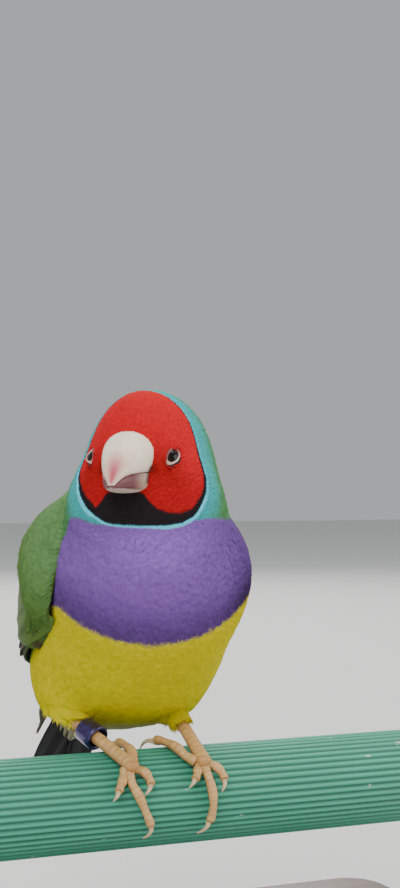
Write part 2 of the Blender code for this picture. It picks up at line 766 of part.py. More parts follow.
def wing_feathers(side, draw):
    """Flight feathers and coverts of one wing, from the lowest layer to the highest."""
    feathers = []
    for number, tip in enumerate(PRIMARY_TIPS):
        offset = PRIMARY_OFFSET + PRIMARY_STRIP * number + draw.uniform(-0.1, 0.1)
        level = PRIMARY_LEVEL[0] + PRIMARY_LEVEL[1] * number
        uneven_tip = tip + draw.uniform(-0.3, 0.3)
        placing = (offset, PRIMARY_HALF_WIDTH, level)
        feathers.append(wing_vane(side, PRIMARY_ROOT, uneven_tip, *placing, 0.1, 7))
    secondaries = zip(SECONDARY_TIPS, SECONDARY_OFFSETS, SECONDARY_HALF_WIDTHS)
    for number, (tip, offset, half_width) in enumerate(secondaries):
        level = SECONDARY_LEVEL[0] + SECONDARY_LEVEL[1] * number
        offset += draw.uniform(-0.12, 0.12)
        feathers.append(wing_vane(side, SECONDARY_ROOT, tip, offset, half_width, level, 0.7))
    for number, (tip, offset) in enumerate(zip(LOWER_COVERT_TIPS, LOWER_COVERT_OFFSETS)):
        level = LOWER_COVERT_LEVEL[0] + LOWER_COVERT_LEVEL[1] * number
        placing = (offset, LOWER_COVERT_HALF_WIDTH, level)
        feathers.append(wing_vane(side, LOWER_COVERT_ROOT, tip, *placing, 0.4, 4))
    for number, tip in enumerate(COVERT_TIPS):
        uneven_tip = tip + draw.uniform(-0.3, 0.3)
        offset = COVERT_OFFSET + COVERT_STRIP * number
        level = COVERT_LEVEL[0] + COVERT_LEVEL[1] * number
        placing = (offset, COVERT_HALF_WIDTH, level)
        feathers.append(wing_vane(side, COVERT_ROOT, uneven_tip, *placing, 0.9, 4))
    return feathers


def make_wings(finish, parent):
    """Both folded wings, each a core with its feathers fused on."""
    for side, name in ((1, "wing_left"), (-1, "wing_right")):
        draw = random.Random(11)
        wing = add(name, wing_core(side), finish, parent)
        combine(wing, wing_feathers(side, draw), "UNION", FEATHER_SOLVER)


def tail_place(along, across, rise):
    """A place on the tail: along it from its root, across it to the left, and above its middle."""
    along, across, rise = np.broadcast_arrays(along, across, rise)
    sideways = across[..., None] * np.array([1.0, 0.0, 0.0])
    return TAIL_ROOT + along[..., None] * TAIL_WAY + sideways + rise[..., None] * TAIL_UP


def tail_core():
    """The root of the tail, under its coverts."""
    angles = np.arange(14) * math.pi / 7
    rings = []
    for along, wide, thick in ((GAP, 4.0, 2.3), *TAIL_CORE):
        rings.append(tail_place(along, wide * np.cos(angles), thick * np.sin(angles)))
    return loft(rings)


def tail_vane(root, tip, start_x, end_x, half_width, rise, fine, droop=0.0, rows=6):
    """One flat feather of the tail, roofed a little along its shaft."""
    share = np.linspace(0.0, 1.0, rows) ** 0.85
    along = root + (tip - root) * share
    middle = start_x + (end_x - start_x) * share
    narrowing = (0.6, 1.0, 1.0 - 0.3 * fine, 0.75 - 0.45 * fine, 0.12)
    taper = np.interp(share, (0.0, 0.3, 0.6, 0.85, 1.0), narrowing)
    lanes = np.array([-1.0, 0.0, 1.0])
    across = middle[:, None] + half_width * taper[:, None] * lanes
    height_of = rise + droop * share[:, None] - 0.28 * np.abs(lanes)
    thick = np.interp(share, (0.0, 0.8, 1.0), (VANE_THICK, VANE_THICK, 0.3))[:, None]
    grid = np.broadcast_to(along[:, None], across.shape)
    under = tail_place(grid, across, height_of - thick / 2.0)
    return sheet(under, tail_place(grid, across, height_of + thick / 2.0))


def tail_feathers(draw):
    """Six pairs of tail feathers, the middle pair uppermost, and the coverts at their root."""
    feathers = []
    for number, (length, spread) in enumerate(zip(TAIL_LENGTHS, TAIL_SPREAD)):
        for side in (1, -1):
            tip = length + draw.uniform(-0.5, 0.5)
            rise = TAIL_TOP - TAIL_LAYER * number - (TAIL_SIDE_STEP if side < 0 else 0.0)
            fine = 1.0 if number == 0 else 0.35
            ends = (side * spread * 0.5, side * spread)
            feathers.append(tail_vane(TAIL_FEATHER_ROOT, tip, *ends, TAIL_HALF_WIDTH, rise, fine))
    for number in range(TAIL_COVERTS):
        lane = number - (TAIL_COVERTS - 1) / 2.0
        for tip, shorter, half_width, rise, droop in (UPPER_TAIL_COVERT, UNDER_TAIL_COVERT):
            above = 1.0 if rise > 0.0 else -1.0
            covert_tip = tip - shorter * abs(lane) + draw.uniform(-0.4, 0.4)
            covert_rise = rise - above * (0.3 * abs(lane) - 0.07 * lane)
            ends = (TAIL_COVERT_LANE * lane, TAIL_COVERT_LANE * lane)
            feathers.append(tail_vane(1.0, covert_tip, *ends, half_width, covert_rise, 0.2, droop, 4))
    return feathers


def make_tail(finish, parent):
    """The tail, its feathers fused to their root."""
    tail = add("tail", tail_core(), finish, parent)
    combine(tail, tail_feathers(random.Random(23)), "UNION", FEATHER_SOLVER)


def on_perch(angle, x, radius):
    """A place round the perch: angle in degrees from its top, positive to the front."""
    angle = np.radians(angle)
    return np.stack([
        np.broadcast_to(x, np.shape(angle)),
        -radius * np.sin(angle),
        radius * np.cos(angle) - PERCH_RADIUS,
    ], axis=-1)


def toe(places, hind):
    """One toe with its claw, wrapped on the perch, as a closed shape."""
    count = 13
    path = smooth_path(places, count)
    share = np.linspace(0.0, 1.0, count)
    claw_from = 0.66
    pads = 1.0 + 0.10 * np.cos(share * 6.0 * math.pi)
    toe_radius = TOE_RADIUS * (1.0 - 0.25 * share) * pads
    claw = np.clip((share - claw_from) / (1.0 - claw_from), 0.0, 1.0)
    radii = np.where(claw > 0.0, TOE_RADIUS * 0.62 * (1.0 - claw) + CLAW_TIP_RADIUS * claw, toe_radius)
    lift = 0.45 * np.sin(math.pi * claw)
    if hind:
        radii = radii * 1.05
    out = PERCH_RADIUS + GAP + np.maximum(radii, 0.3) + 0.12 + lift
    return tube(on_perch(path[:, 0], path[:, 1], out), radii, 6)


def make_legs(finish, parent):
    """The bare tarsi, each from the foot up to the belly, and the feet with their toes."""
    for name, leg in LEGS.items():
        ankle = np.array(leg["ball"])
        along = unit(leg["along"])
        starts = ankle + along * TARSUS_START
        across = unit(np.array([1.0, 0.0, 0.0]) - along * along[0])
        over = np.cross(along, across)
        angles = np.arange(10) * math.pi / 5
        spread = np.cos(angles)[:, None] * across + 0.92 * np.sin(angles)[:, None] * over
        rim = starts + TARSUS_RADIUS * spread
        lengths = reach_in(rim, along)
        rings = [rim]
        for share in (0.3, 0.65):
            rings.append(starts + 0.93 * TARSUS_RADIUS * spread + along * lengths.min() * share)
        rings.append(rim + along * lengths[:, None])
        top = starts + along * float(reach_in(starts[None], along)[0])
        add(f"leg_{name}", loft(rings, None, top), finish, parent)
        stub = [
            ankle + along * step + TARSUS_RADIUS * spread
            for step in (-0.2, TARSUS_START - GAP)
        ]
        foot = add(f"foot_{name}", loft(stub), finish, parent)
        pieces = [ball(ankle - along * 0.3, np.array([1.25, 1.2, 1.0]), None, 6, 10)]
        pieces += [toe(places, toe_name == "hind") for toe_name, places in leg["toes"].items()]
        combine(foot, pieces, "UNION")


def make_leg_ring(finish, parent):
    """The plain closed ring round the right leg."""
    leg = LEGS["right"]
    along = unit(leg["along"])
    across = unit(np.array([1.0, 0.0, 0.0]) - along * along[0])
    over = np.cross(along, across)
    centre = np.array(leg["ball"]) + along * RING_ALONG
    half = RING_HEIGHT / 2.0
    edge = 0.16
    profile = (
        (RING_INNER, -half), (RING_OUTER - edge, -half), (RING_OUTER, edge - half),
        (RING_OUTER, half - edge), (RING_OUTER - edge, half), (RING_INNER, half),
    )
    sides = 24
    points = []
    faces = []
    for number in range(sides):
        angle = 2.0 * math.pi * number / sides
        way = math.cos(angle) * across + math.sin(angle) * over
        points += [centre + way * radius + along * rise for radius, rise in profile]
    count = len(profile)
    for number in range(sides):
        here = number * count
        there = (number + 1) % sides * count
        for step in range(count):
            after = (step + 1) % count
            faces.append((here + step, here + after, there + after, there + step))
    add("leg_ring", (np.array(points), faces), finish, parent, 30.0)


def make_perch(finish, parent):
    """The ribbed rod, cut to a short length."""
    outline = []
    pitch = 2.0 * math.pi / PERCH_RIBS
    for rib in range(PERCH_RIBS):
        middle = rib * pitch
        crest = 0.5 * RIB_CREST_SHARE * pitch
        groove = 0.5 * (1.0 - 0.45 * RIB_CREST_SHARE) * pitch
        for angle, radius in (
            (middle - crest, PERCH_RADIUS),
            (middle + crest, PERCH_RADIUS),
            (middle + groove, PERCH_RADIUS - RIB_DEPTH),
        ):
            outline.append((0.0, -radius * math.sin(angle), radius * math.cos(angle) - PERCH_RADIUS))
    outline = np.array(outline)
    half = np.array([PERCH_LENGTH / 2.0, 0.0, 0.0])
    centre = np.array([0.0, 0.0, -PERCH_RADIUS])
    rod = loft([outline - half, outline + half], centre - half, centre + half)
    add("perch", rod, finish, parent, 30.0)


def make_stand(wood, steel):
    """The flat base, and the two rods with a foot each, cut to fit under the perch."""
    work = bmesh.new()
    bmesh.ops.create_cube(work, size=1.0)
    for vert in work.verts:
        vert.co.x *= BASE_LENGTH * MM
        vert.co.y = vert.co.y * BASE_DEPTH * MM + BASE_BACK_SHIFT * MM
        vert.co.z = (vert.co.z + 0.5) * BASE_THICK * MM
    upright = []
    for edge in work.edges:
        low, high = sorted(vert.co.z for vert in edge.verts)
        if high - low > 0.5 * BASE_THICK * MM:
            upright.append(edge)
    bmesh.ops.bevel(work, geom=upright, offset=BASE_CORNER * MM, segments=6, affect="EDGES", profile=0.5)
    top_height = 0.99 * BASE_THICK * MM
    top = [edge for edge in work.edges if min(vert.co.z for vert in edge.verts) > top_height]
    bmesh.ops.bevel(work, geom=top, offset=BASE_CHAMFER * MM, segments=2, affect="EDGES", profile=0.5)
    bmesh.ops.recalc_face_normals(work, faces=work.faces)
    mesh = bpy.data.meshes.new("stand_base")
    work.to_mesh(mesh)
    work.free()
    mesh.shade_smooth()
    mesh.set_sharp_from_angle(angle=math.radians(30.0))
    mesh.materials.append(wood)
    base = bpy.data.objects.new("stand_base", mesh)
    bpy.context.scene.collection.objects.link(base)
    axis_height = PERCH_TOP - PERCH_RADIUS
    sides = 24
    angles = np.arange(sides) * 2.0 * math.pi / sides
    circle = np.stack([np.cos(angles), np.sin(angles), np.zeros(sides)], axis=-1)
    saddle_radius = PERCH_RADIUS + GAP
    for side, name in ((1, "stand_rod_left"), (-1, "stand_rod_right")):
        foot = np.array([side * ROD_OFFSET, 0.0, BASE_THICK + GAP])
        up = np.array([0.0, 0.0, 1.0])
        rings = [
            foot + circle * ROD_FOOT_RADIUS,
            foot + circle * ROD_FOOT_RADIUS + up * (ROD_FOOT_THICK - 0.5),
            foot + circle * (ROD_FOOT_RADIUS - 0.5) + up * ROD_FOOT_THICK,
            foot + circle * (ROD_RADIUS + 0.3) + up * ROD_FOOT_THICK,
            foot + circle * ROD_RADIUS + up * (ROD_FOOT_THICK + 0.3),
        ]
        saddle = foot + circle * ROD_RADIUS
        saddle[:, 2] = axis_height - np.sqrt(saddle_radius**2 - saddle[:, 1] ** 2)
        rings.append(saddle)
        middle = foot * np.array([1.0, 1.0, 0.0]) + up * (axis_height - saddle_radius)
        add(name, loft(rings, None, middle), steel, None, 30.0)


for startup_object in list(bpy.data.objects):
    bpy.data.objects.remove(startup_object)

perch_frame = bpy.data.objects.new("perch_top", None)
perch_frame.location = (0.0, 0.0, PERCH_TOP * MM)
bpy.context.scene.collection.objects.link(perch_frame)

breast_purple = material("breast purple", (0.28, 0.17, 0.45), 0.8)
hood_blue = material("hood blue", (0.16, 0.42, 0.43), 0.8)
mask_red = material("mask red", (0.52, 0.05, 0.04), 0.8)
wing_green = material("wing green", (0.13, 0.24, 0.06), 0.75)
tail_black = material("tail black", (0.03, 0.028, 0.028), 0.7)
bill_ivory = material("bill ivory", (0.82, 0.68, 0.6), 0.4)
eye_brown = material("eye brown", (0.02, 0.012, 0.01), 0.1)
leg_flesh = material("leg flesh", (0.72, 0.5, 0.33), 0.55)
ring_violet = material("ring violet", (0.05, 0.04, 0.12), 0.25, 0.6)
perch_green = material("perch green", (0.09, 0.32, 0.22), 0.45)
base_wood = material("base wood", (0.11, 0.055, 0.03), 0.5)
rod_steel = material("rod steel", (0.6, 0.6, 0.6), 0.3, 1.0)

make_torso(breast_purple, perch_frame)
make_neck(hood_blue, perch_frame)
make_head(mask_red, perch_frame)
make_eyes(eye_brown, perch_frame)
make_bill(bill_ivory, perch_frame)
make_wings(wing_green, perch_frame)
make_tail(tail_black, perch_frame)
make_legs(leg_flesh, perch_frame)
make_leg_ring(ring_violet, perch_frame)
make_perch(perch_green, perch_frame)
make_stand(base_wood, rod_steel)
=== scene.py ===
"""The looks of a life-size gouldian finch on its perch and display stand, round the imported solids.

Sizes are in millimetres in the bird's own frame, as in the part's source: its origin is on top of
the perch, x to the bird's left, y to its back and z up. They become metres as each mesh is made.
"""
import math
import random

import bpy
import numpy as np
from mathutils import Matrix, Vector, kdtree


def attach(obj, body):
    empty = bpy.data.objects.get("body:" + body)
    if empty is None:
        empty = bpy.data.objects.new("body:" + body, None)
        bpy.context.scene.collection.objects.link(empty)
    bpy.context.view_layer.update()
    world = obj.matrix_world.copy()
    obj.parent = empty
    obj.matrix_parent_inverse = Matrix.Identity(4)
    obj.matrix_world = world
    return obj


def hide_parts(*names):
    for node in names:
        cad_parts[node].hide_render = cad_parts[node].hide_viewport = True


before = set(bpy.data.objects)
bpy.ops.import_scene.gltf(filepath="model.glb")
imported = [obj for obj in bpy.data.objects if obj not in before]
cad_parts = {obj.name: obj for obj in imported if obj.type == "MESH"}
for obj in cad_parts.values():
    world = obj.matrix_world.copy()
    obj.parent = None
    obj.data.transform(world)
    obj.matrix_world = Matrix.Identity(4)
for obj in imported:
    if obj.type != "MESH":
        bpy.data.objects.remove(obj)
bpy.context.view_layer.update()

# The view. The picture was taken from a little below the bird's breast, in front of it and to
# its right, and is taller than wide. The lens is solved from the perch's two edges.
CAMERA_AT = (-0.08187, -0.20580, 0.08037)
CAMERA_LOOKS = (0.39699, 0.91737, 0.02866)
LENS_LENGTH = 60.81
SENSOR_HEIGHT = 36.0

camera_data = bpy.data.cameras.new("picture_camera")
camera_data.sensor_fit = "VERTICAL"
camera_data.sensor_height = SENSOR_HEIGHT
camera_data.sensor_width = SENSOR_HEIGHT
camera_data.lens = LENS_LENGTH
camera_data.clip_start = 0.01
camera_data.clip_end = 20.0
camera = bpy.data.objects.new("picture_camera", camera_data)
camera.location = CAMERA_AT
camera.rotation_mode = "QUATERNION"
camera.rotation_quaternion = Vector(CAMERA_LOOKS).to_track_quat("-Z", "Y")
bpy.context.scene.collection.objects.link(camera)
bpy.context.scene.camera = camera

# The stand's base. A flat board of dark hardwood with eased edges, sealed with a satin varnish.
# Its grain runs along its length, and the pores are a little darker.
MM = 0.001
PERCH_TOP = 42.0
WOOD_DARK = (0.052, 0.024, 0.012)
WOOD_LIGHT = (0.150, 0.074, 0.036)
GRAIN_STRETCH = (38.0, 420.0, 420.0)
PORE_STRETCH = (260.0, 3600.0, 3600.0)
PORE_DEPTH = 0.00008


def finish_of(name, roughness, **sockets):
    """A new material with its even values set on the shader, and the shader itself."""
    made = bpy.data.materials.new(name)
    made.use_nodes = True
    shader = made.node_tree.nodes["Principled BSDF"]
    shader.inputs["Roughness"].default_value = roughness
    for socket, value in sockets.items():
        shader.inputs[socket.replace("_", " ")].default_value = value
    return made, shader


def node_in(made, kind, inputs=(), **settings):
    """A node of the material, its inputs given by name as values or as other nodes' outputs."""
    node = made.node_tree.nodes.new(kind)
    for setting, value in settings.items():
        setattr(node, setting, value)
    for name, value in dict(inputs).items():
        if isinstance(value, bpy.types.NodeSocket):
            made.node_tree.links.new(value, node.inputs[name])
        else:
            node.inputs[name].default_value = value
    return node


def link_in(made, source, target):
    """Joins one output to one input."""
    made.node_tree.links.new(source, target)


def place_in(made, stretch=(1.0, 1.0, 1.0)):
    """The surface's own place in metres, stretched to draw a pattern out."""
    coordinates = node_in(made, "ShaderNodeTexCoord")
    mapping = node_in(made, "ShaderNodeMapping", {"Vector": coordinates.outputs["Object"], "Scale": stretch})
    return mapping.outputs["Vector"]


def ramp_in(made, factor, *stops):
    """A colour ramp over a factor, from stops of place and colour."""
    ramp = node_in(made, "ShaderNodeValToRGB", {"Fac": factor})
    elements = ramp.color_ramp.elements
    while len(elements) < len(stops):
        elements.new(0.5)
    for element, (place, colour) in zip(elements, stops):
        element.position = place
        element.color = (*colour, 1.0)
    return ramp.outputs["Color"]


def bump_in(made, shader, height_socket, depth, strength=1.0):
    """Relief of this depth in metres on the shader."""
    relief = {"Height": height_socket, "Distance": depth, "Strength": strength}
    link_in(made, node_in(made, "ShaderNodeBump", relief).outputs["Normal"], shader.inputs["Normal"])


def noise_in(made, stretch, detail=2.0, **inputs):
    """Soft random specks over the surface, more to the metre where the stretch is larger."""
    settings = {"Vector": place_in(made, stretch), "Scale": 1.0, "Detail": detail, **inputs}
    return node_in(made, "ShaderNodeTexNoise", settings).outputs["Fac"]


def dress(node_name, finish):
    """Gives one of the stand's solids its finish and leaves its shape alone."""
    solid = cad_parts[node_name]
    solid.data.materials.clear()
    solid.data.materials.append(finish)


walnut, shader = finish_of("walnut", 0.42, Coat_Weight=0.35, Coat_Roughness=0.25)
grain = noise_in(walnut, GRAIN_STRETCH, 8.0, Roughness=0.62)
wood_tone = ramp_in(walnut, grain, (0.34, WOOD_DARK), (0.66, WOOD_LIGHT))
link_in(walnut, wood_tone, shader.inputs["Base Color"])
bump_in(walnut, shader, noise_in(walnut, PORE_STRETCH), PORE_DEPTH, 0.5)
dress("stand_base", walnut)

# The stand's two rods. Stainless steel, turned with a foot that is glued to the base, and
# brushed round. Each ends in a saddle under the perch.
STEEL_GREY = (0.60, 0.60, 0.59, 1.0)
BRUSHING_STRETCH = (300.0, 300.0, 9000.0)
BRUSHING_DEPTH = 0.00003
BRUSHED_ROUGHNESS = (0.22, 0.42)


def spread_in(made, factor, low, high, start=0.0, end=1.0):
    """A factor between start and end, spread from low to high."""
    settings = {"Value": factor, "From Min": start, "From Max": end, "To Min": low, "To Max": high}
    return node_in(made, "ShaderNodeMapRange", settings).outputs["Result"]


steel, shader = finish_of("brushed steel", 0.3, Metallic=1.0)
shader.inputs["Base Color"].default_value = STEEL_GREY
brushing = noise_in(steel, BRUSHING_STRETCH, 3.0)
link_in(steel, spread_in(steel, brushing, *BRUSHED_ROUGHNESS), shader.inputs["Roughness"])
bump_in(steel, shader, brushing, BRUSHING_DEPTH, 0.4)
dress("stand_rod_left", steel)
dress("stand_rod_right", steel)

# The perch. A hard plastic rod with fine ribs along its length, extruded in one pass and cut to
# length. Its grooves are painted darker than its crests, as painted shade, and it is worn pale and dull in
# patches.
PERCH_RADIUS = 7.0
PERCH_LENGTH = 106.0
PERCH_RIBS = 44
RIB_DEPTH = 0.3
RIB_FLATNESS = 0.45
POINTS_A_RIB = 10
END_ROUNDING = 0.4
END_STEP = 0.12
PERCH_CREST = (0.064, 0.410, 0.268)
PERCH_GROOVE_SHADE = (0.028, 0.150, 0.098)
WORN_DARK = (0.82, 0.86, 0.84, 1.0)
WORN_PALE = (1.12, 1.08, 1.06, 1.0)
SCUFF_PALE = (0.52, 0.66, 0.60, 1.0)
SCUFF_FROM = (0.70, 0.76)
WORN_ROUGHNESS = (0.34, 0.56)
SCUFF_DEPTH = 0.00003


def in_metres(points):
    """Points of the bird's frame in the stand's frame, in metres."""
    return (np.asarray(points, float) + np.array([0.0, 0.0, PERCH_TOP])) * MM


def show(name, points, faces, finish, stands_for=(), colours=None, maps=None, normals=None):
    """A smooth piece of the model from points in millimetres, with its colours and UV maps."""
    sizes = np.array([len(face) for face in faces], dtype=np.int32)
    corners = np.concatenate([np.asarray(face) for face in faces]).astype(np.int32)
    starts = np.cumsum(sizes) - sizes
    mesh = bpy.data.meshes.new(name)
    mesh.vertices.add(len(points))
    mesh.vertices.foreach_set("co", in_metres(points).astype(np.float32).ravel())
    mesh.loops.add(len(corners))
    mesh.loops.foreach_set("vertex_index", corners)
    mesh.polygons.add(len(sizes))
    mesh.polygons.foreach_set("loop_start", starts.astype(np.int32))
    mesh.update(calc_edges=True)
    mesh.validate()
    mesh.shade_smooth()
    for map_name, places in (maps or {}).items():
        layer = mesh.uv_layers.new(name=map_name)
        layer.data.foreach_set("uv", places[corners].astype(np.float32).ravel())
    if colours is not None:
        layer = mesh.color_attributes.new("plumage", "FLOAT_COLOR", "POINT")
        full = np.concatenate([colours, np.ones((len(colours), 1))], axis=1)
        layer.data.foreach_set("color", full.astype(np.float32).ravel())
    if normals is not None:
        mesh.normals_split_custom_set_from_vertices(normals.tolist())
    mesh.materials.append(finish)
    made = bpy.data.objects.new(name, mesh)
    bpy.context.scene.collection.objects.link(made)
    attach(made, "root")
    if stands_for:
        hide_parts(*stands_for)


def ring_faces(rings, sides):
    """Quads between rings of points, each ring closed on itself."""
    ring = np.arange(rings - 1)[:, None] * sides
    side = np.arange(sides)[None, :]
    after = (side + 1) % sides
    ahead = ring + sides
    return np.stack([ring + side, ring + after, ahead + after, ahead + side], axis=-1).reshape(-1, 4)


def closed_form(rings, start=None, end=None):
    """A closed skin over rings of points, drawn to a point at each end."""
    rings = np.asarray(rings, float)
    count, sides = rings.shape[:2]
    points = rings.reshape(-1, 3)
    faces = ring_faces(count, sides).tolist()
    last = (count - 1) * sides
    start = rings[0].mean(axis=0) if start is None else start
    end = rings[-1].mean(axis=0) if end is None else end
    points = np.vstack([points, start, end])
    for side in range(sides):
        after = (side + 1) % sides
        faces.append([after, side, len(points) - 2])
        faces.append([last + side, last + after, len(points) - 1])
    return points, faces


def full_turn(count):
    """Evenly spaced angles round a full turn."""
    return np.arange(count) * 2.0 * math.pi / count


def own_colours(made):
    """The colours that the mesh carries at its points."""
    return node_in(made, "ShaderNodeVertexColor", layer_name="plumage").outputs["Color"]


def mix_in(made, factor, first, second, blend="MIX"):
    """The second colour mixed into the first, or multiplied with it."""
    settings = {"Factor": factor, "A": first, "B": second}
    mix = node_in(made, "ShaderNodeMix", settings, data_type="RGBA", blend_type=blend)
    return mix.outputs["Result"]


rib_points = PERCH_RIBS * POINTS_A_RIB
rib_angles = full_turn(rib_points)
rib_wave = 0.5 + 0.5 * np.cos(rib_angles * PERCH_RIBS)
rib_radius = PERCH_RADIUS - RIB_DEPTH * (1.0 - rib_wave**RIB_FLATNESS)
half_length = PERCH_LENGTH / 2.0
end_steps = [
    (half_length, END_ROUNDING), (half_length - END_STEP, END_STEP), (half_length - END_ROUNDING, 0.0),
]
rod_rings = []
for x, shrink in [(-x, shrink) for x, shrink in end_steps] + [(0.0, 0.0)] + end_steps[::-1]:
    radius = rib_radius - shrink
    rod_rings.append(np.stack([
        np.full(rib_points, x), -radius * np.sin(rib_angles), radius * np.cos(rib_angles) - PERCH_RADIUS,
    ], axis=-1))
perch_points, perch_faces = closed_form(rod_rings)
# The grooves get a darker green than the crests: painted shade in the grooves.
crest_share = (np.concatenate([np.tile(rib_wave, len(rod_rings)), [1.0, 1.0]]) ** 0.8)[:, None]
perch_colours = np.array(PERCH_GROOVE_SHADE) * (1.0 - crest_share) + np.array(PERCH_CREST) * crest_share

perch_green, shader = finish_of("ribbed green plastic", 0.42, Specular_IOR_Level=0.45)
wear = noise_in(perch_green, (90.0, 420.0, 420.0), 6.0)
scuffs = noise_in(perch_green, (260.0, 700.0, 700.0), 4.0)
worn = mix_in(perch_green, wear, WORN_DARK, WORN_PALE)
toned = mix_in(perch_green, 1.0, own_colours(perch_green), worn, "MULTIPLY")
spots = spread_in(perch_green, scuffs, 0.0, 1.0, *SCUFF_FROM)
link_in(perch_green, mix_in(perch_green, spots, toned, SCUFF_PALE), shader.inputs["Base Color"])
link_in(perch_green, spread_in(perch_green, wear, *WORN_ROUGHNESS), shader.inputs["Roughness"])
bump_in(perch_green, shader, scuffs, SCUFF_DEPTH, 0.5)
show("perch_rod", perch_points, perch_faces, perch_green, ("perch",), perch_colours)

# The bird's skin. One closed surface over breast, belly, neck and head, the same rounded masses
# that the solids have, taken in by the depth of the coat, with no seam at the neck.
BLEND = 1.7
BODY_MASSES = (
    ((-1.1, 0.3, 24.5), (14.3, 14.2, 14.5), 20),
    ((5.2, -2.8, 26.5), (7.0, 7.2, 7.2), 0),
    ((-0.8, 7.6, 15.0), (14.0, 15.0, 11.7), 20),
    ((-0.9, 14.6, 10.6), (12.8, 10.4, 9.2), 0),
    ((0.0, 21.5, 12.0), (8.4, 15.6, 7.0), 40),
    ((-0.3, 8.4, 25.6), (12.3, 9.4, 16.0), -42),
    ((-3.3, -4.6, 34.8), (10.6, 11.8, 9.0), -4),
    ((-3.2, -7.4, 31.0), (8.4, 7.6, 7.4), 0),
    ((-9.6, 9.4, 7.6), (4.4, 5.0, 4.4), 0),
    ((4.8, 7.4, 8.4), (4.4, 5.0, 4.2), 0),
)
HEAD_AT = np.array([-4.9, -7.7, 41.6])
HEAD_YAW = -36.0
HEAD_PITCH = -4.0
HEAD_MASSES = (
    ((0.0, -0.4, 1.5), (5.8, 7.7, 8.0), 0),
    ((0.0, 4.3, 2.3), (7.1, 6.1, 7.3), 0),
    ((0.0, 4.6, -1.5), (8.0, 6.8, 8.2), 0),
    ((4.3, -1.8, -5.2), (4.1, 4.8, 4.2), 0),
    ((-4.3, -1.8, -5.2), (4.1, 4.8, 4.2), 0),
    ((0.0, -4.4, -5.6), (4.8, 4.2, 4.4), 0),
    ((0.0, -5.4, -0.4), (2.7, 3.4, 3.9), 0),
)
TAIL_SLEEVE = (((0.0, 44.0, -6.9), (6.4, 25.0, 4.4), 40),)
TAIL_ROOT = np.array([0.0, 28.0, 6.5])
TAIL_SLOPE = 40.0
NECK_AT = np.array([-2.6, -5.5, 34.8])
COAT_DEPTH_BODY = 0.8
COAT_DEPTH_FACE = 0.34
COAT_DEPTH_TAIL = 1.4
BODY_RINGS = 108
HEAD_RINGS = 44
SKIN_RINGS = BODY_RINGS + HEAD_RINGS
SKIN_SIDES = 132
UNWRAP_MARGIN = 0.01
CROWN_WAY = (0.0, -0.57, 0.82)
HEAD_FOOT = (0.0, 0.0, -2.5)
THIN_FROM_RING = BODY_RINGS - 12
THIN_TO_RING = BODY_RINGS + 4
TAIL_RINGS = 24


def turn(pitch=0.0, yaw=0.0):
    """The axes, as columns, of a frame whose front is lifted by pitch and then turned by yaw."""
    lift = math.radians(pitch)
    swing = math.radians(yaw)
    lifted = np.array([
        [1.0, 0.0, 0.0],
        [0.0, math.cos(lift), math.sin(lift)],
        [0.0, -math.sin(lift), math.cos(lift)],
    ])
    swung = np.array([
        [math.cos(swing), -math.sin(swing), 0.0],
        [math.sin(swing), math.cos(swing), 0.0],
        [0.0, 0.0, 1.0],
    ])
    return swung @ lifted


def unit(vectors):
    """The same directions at length one."""
    vectors = np.asarray(vectors, float)
    return vectors / np.maximum(np.linalg.norm(vectors, axis=-1, keepdims=True), 1e-9)


HEAD_FRAME = turn(HEAD_PITCH, HEAD_YAW)
TAIL_WAY = np.array([0.0, math.cos(math.radians(TAIL_SLOPE)), -math.sin(math.radians(TAIL_SLOPE))])
TAIL_UP = np.array([0.0, math.sin(math.radians(TAIL_SLOPE)), math.cos(math.radians(TAIL_SLOPE))])


def in_head(point):
    """A place in the head's frame, taken into the bird's."""
    return HEAD_AT + np.asarray(point, float) @ HEAD_FRAME.T


def placed(masses, at, axes):
    """The masses' centres, radii and axes in the bird's frame."""
    return [
        (at + axes @ np.array(centre), np.array(radii), axes @ turn(pitch)) for centre, radii, pitch in masses
    ]


SURFACE = placed(BODY_MASSES, np.zeros(3), np.eye(3)) + placed(HEAD_MASSES, HEAD_AT, HEAD_FRAME)
GUIDE = SURFACE + placed(TAIL_SLEEVE, np.zeros(3), np.eye(3))


def height(points, masses=SURFACE):
    """How far each point is above the melted surface of the masses, and below it where negative."""
    near = 0.0
    for centre, radii, axes in masses:
        local = (points - centre) @ axes
        scaled = np.linalg.norm(local / radii, axis=-1)
        steep = np.linalg.norm(local / radii**2, axis=-1)
        away = scaled * (scaled - 1.0) / np.maximum(steep, 1e-9)
        near = near + np.exp(-np.clip(away, -30.0, 60.0) / BLEND)
    return -BLEND * np.log(np.maximum(near, 1e-30))


def slope(points, masses=SURFACE):
    """The upward direction of the height, by differences."""
    step = 0.02
    parts = [
        height(points + axis * step, masses) - height(points - axis * step, masses) for axis in np.eye(3)
    ]
    return np.stack(parts, axis=-1) / (2.0 * step)


def reach(origins, directions, level=0.0, masses=SURFACE, far=40.0):
    """The distance along each direction, from inside, at which the height passes level."""
    low = np.zeros(np.broadcast(origins, directions).shape[:-1])
    high = np.full(low.shape, far)
    for _ in range(28):
        middle = (low + high) / 2.0
        inside = height(origins + directions * middle[..., None], masses) < level
        low = np.where(inside, middle, low)
        high = np.where(inside, high, middle)
    return low


def smooth_path(points, count):
    """Points along a smooth curve through the given ones."""
    points = np.asarray(points, float)
    padded = np.vstack([2 * points[0] - points[1], points, 2 * points[-1] - points[-2]])
    place = np.linspace(0.0, len(points) - 1.0, count)
    first = np.minimum(place.astype(int), len(points) - 2)
    share = (place - first)[:, None]
    a, b, c, d = (padded[first + step] for step in range(4))
    bend = (2 * a - 5 * b + 4 * c - d) * share**2 + (3 * b - a - 3 * c + d) * share**3
    return b + 0.5 * ((c - a) * share + bend)


def between(value, low, high):
    """0 below low, 1 above high, and smooth between them."""
    share = np.clip((value - low) / (high - low), 0.0, 1.0)
    return share * share * (3.0 - 2.0 * share)


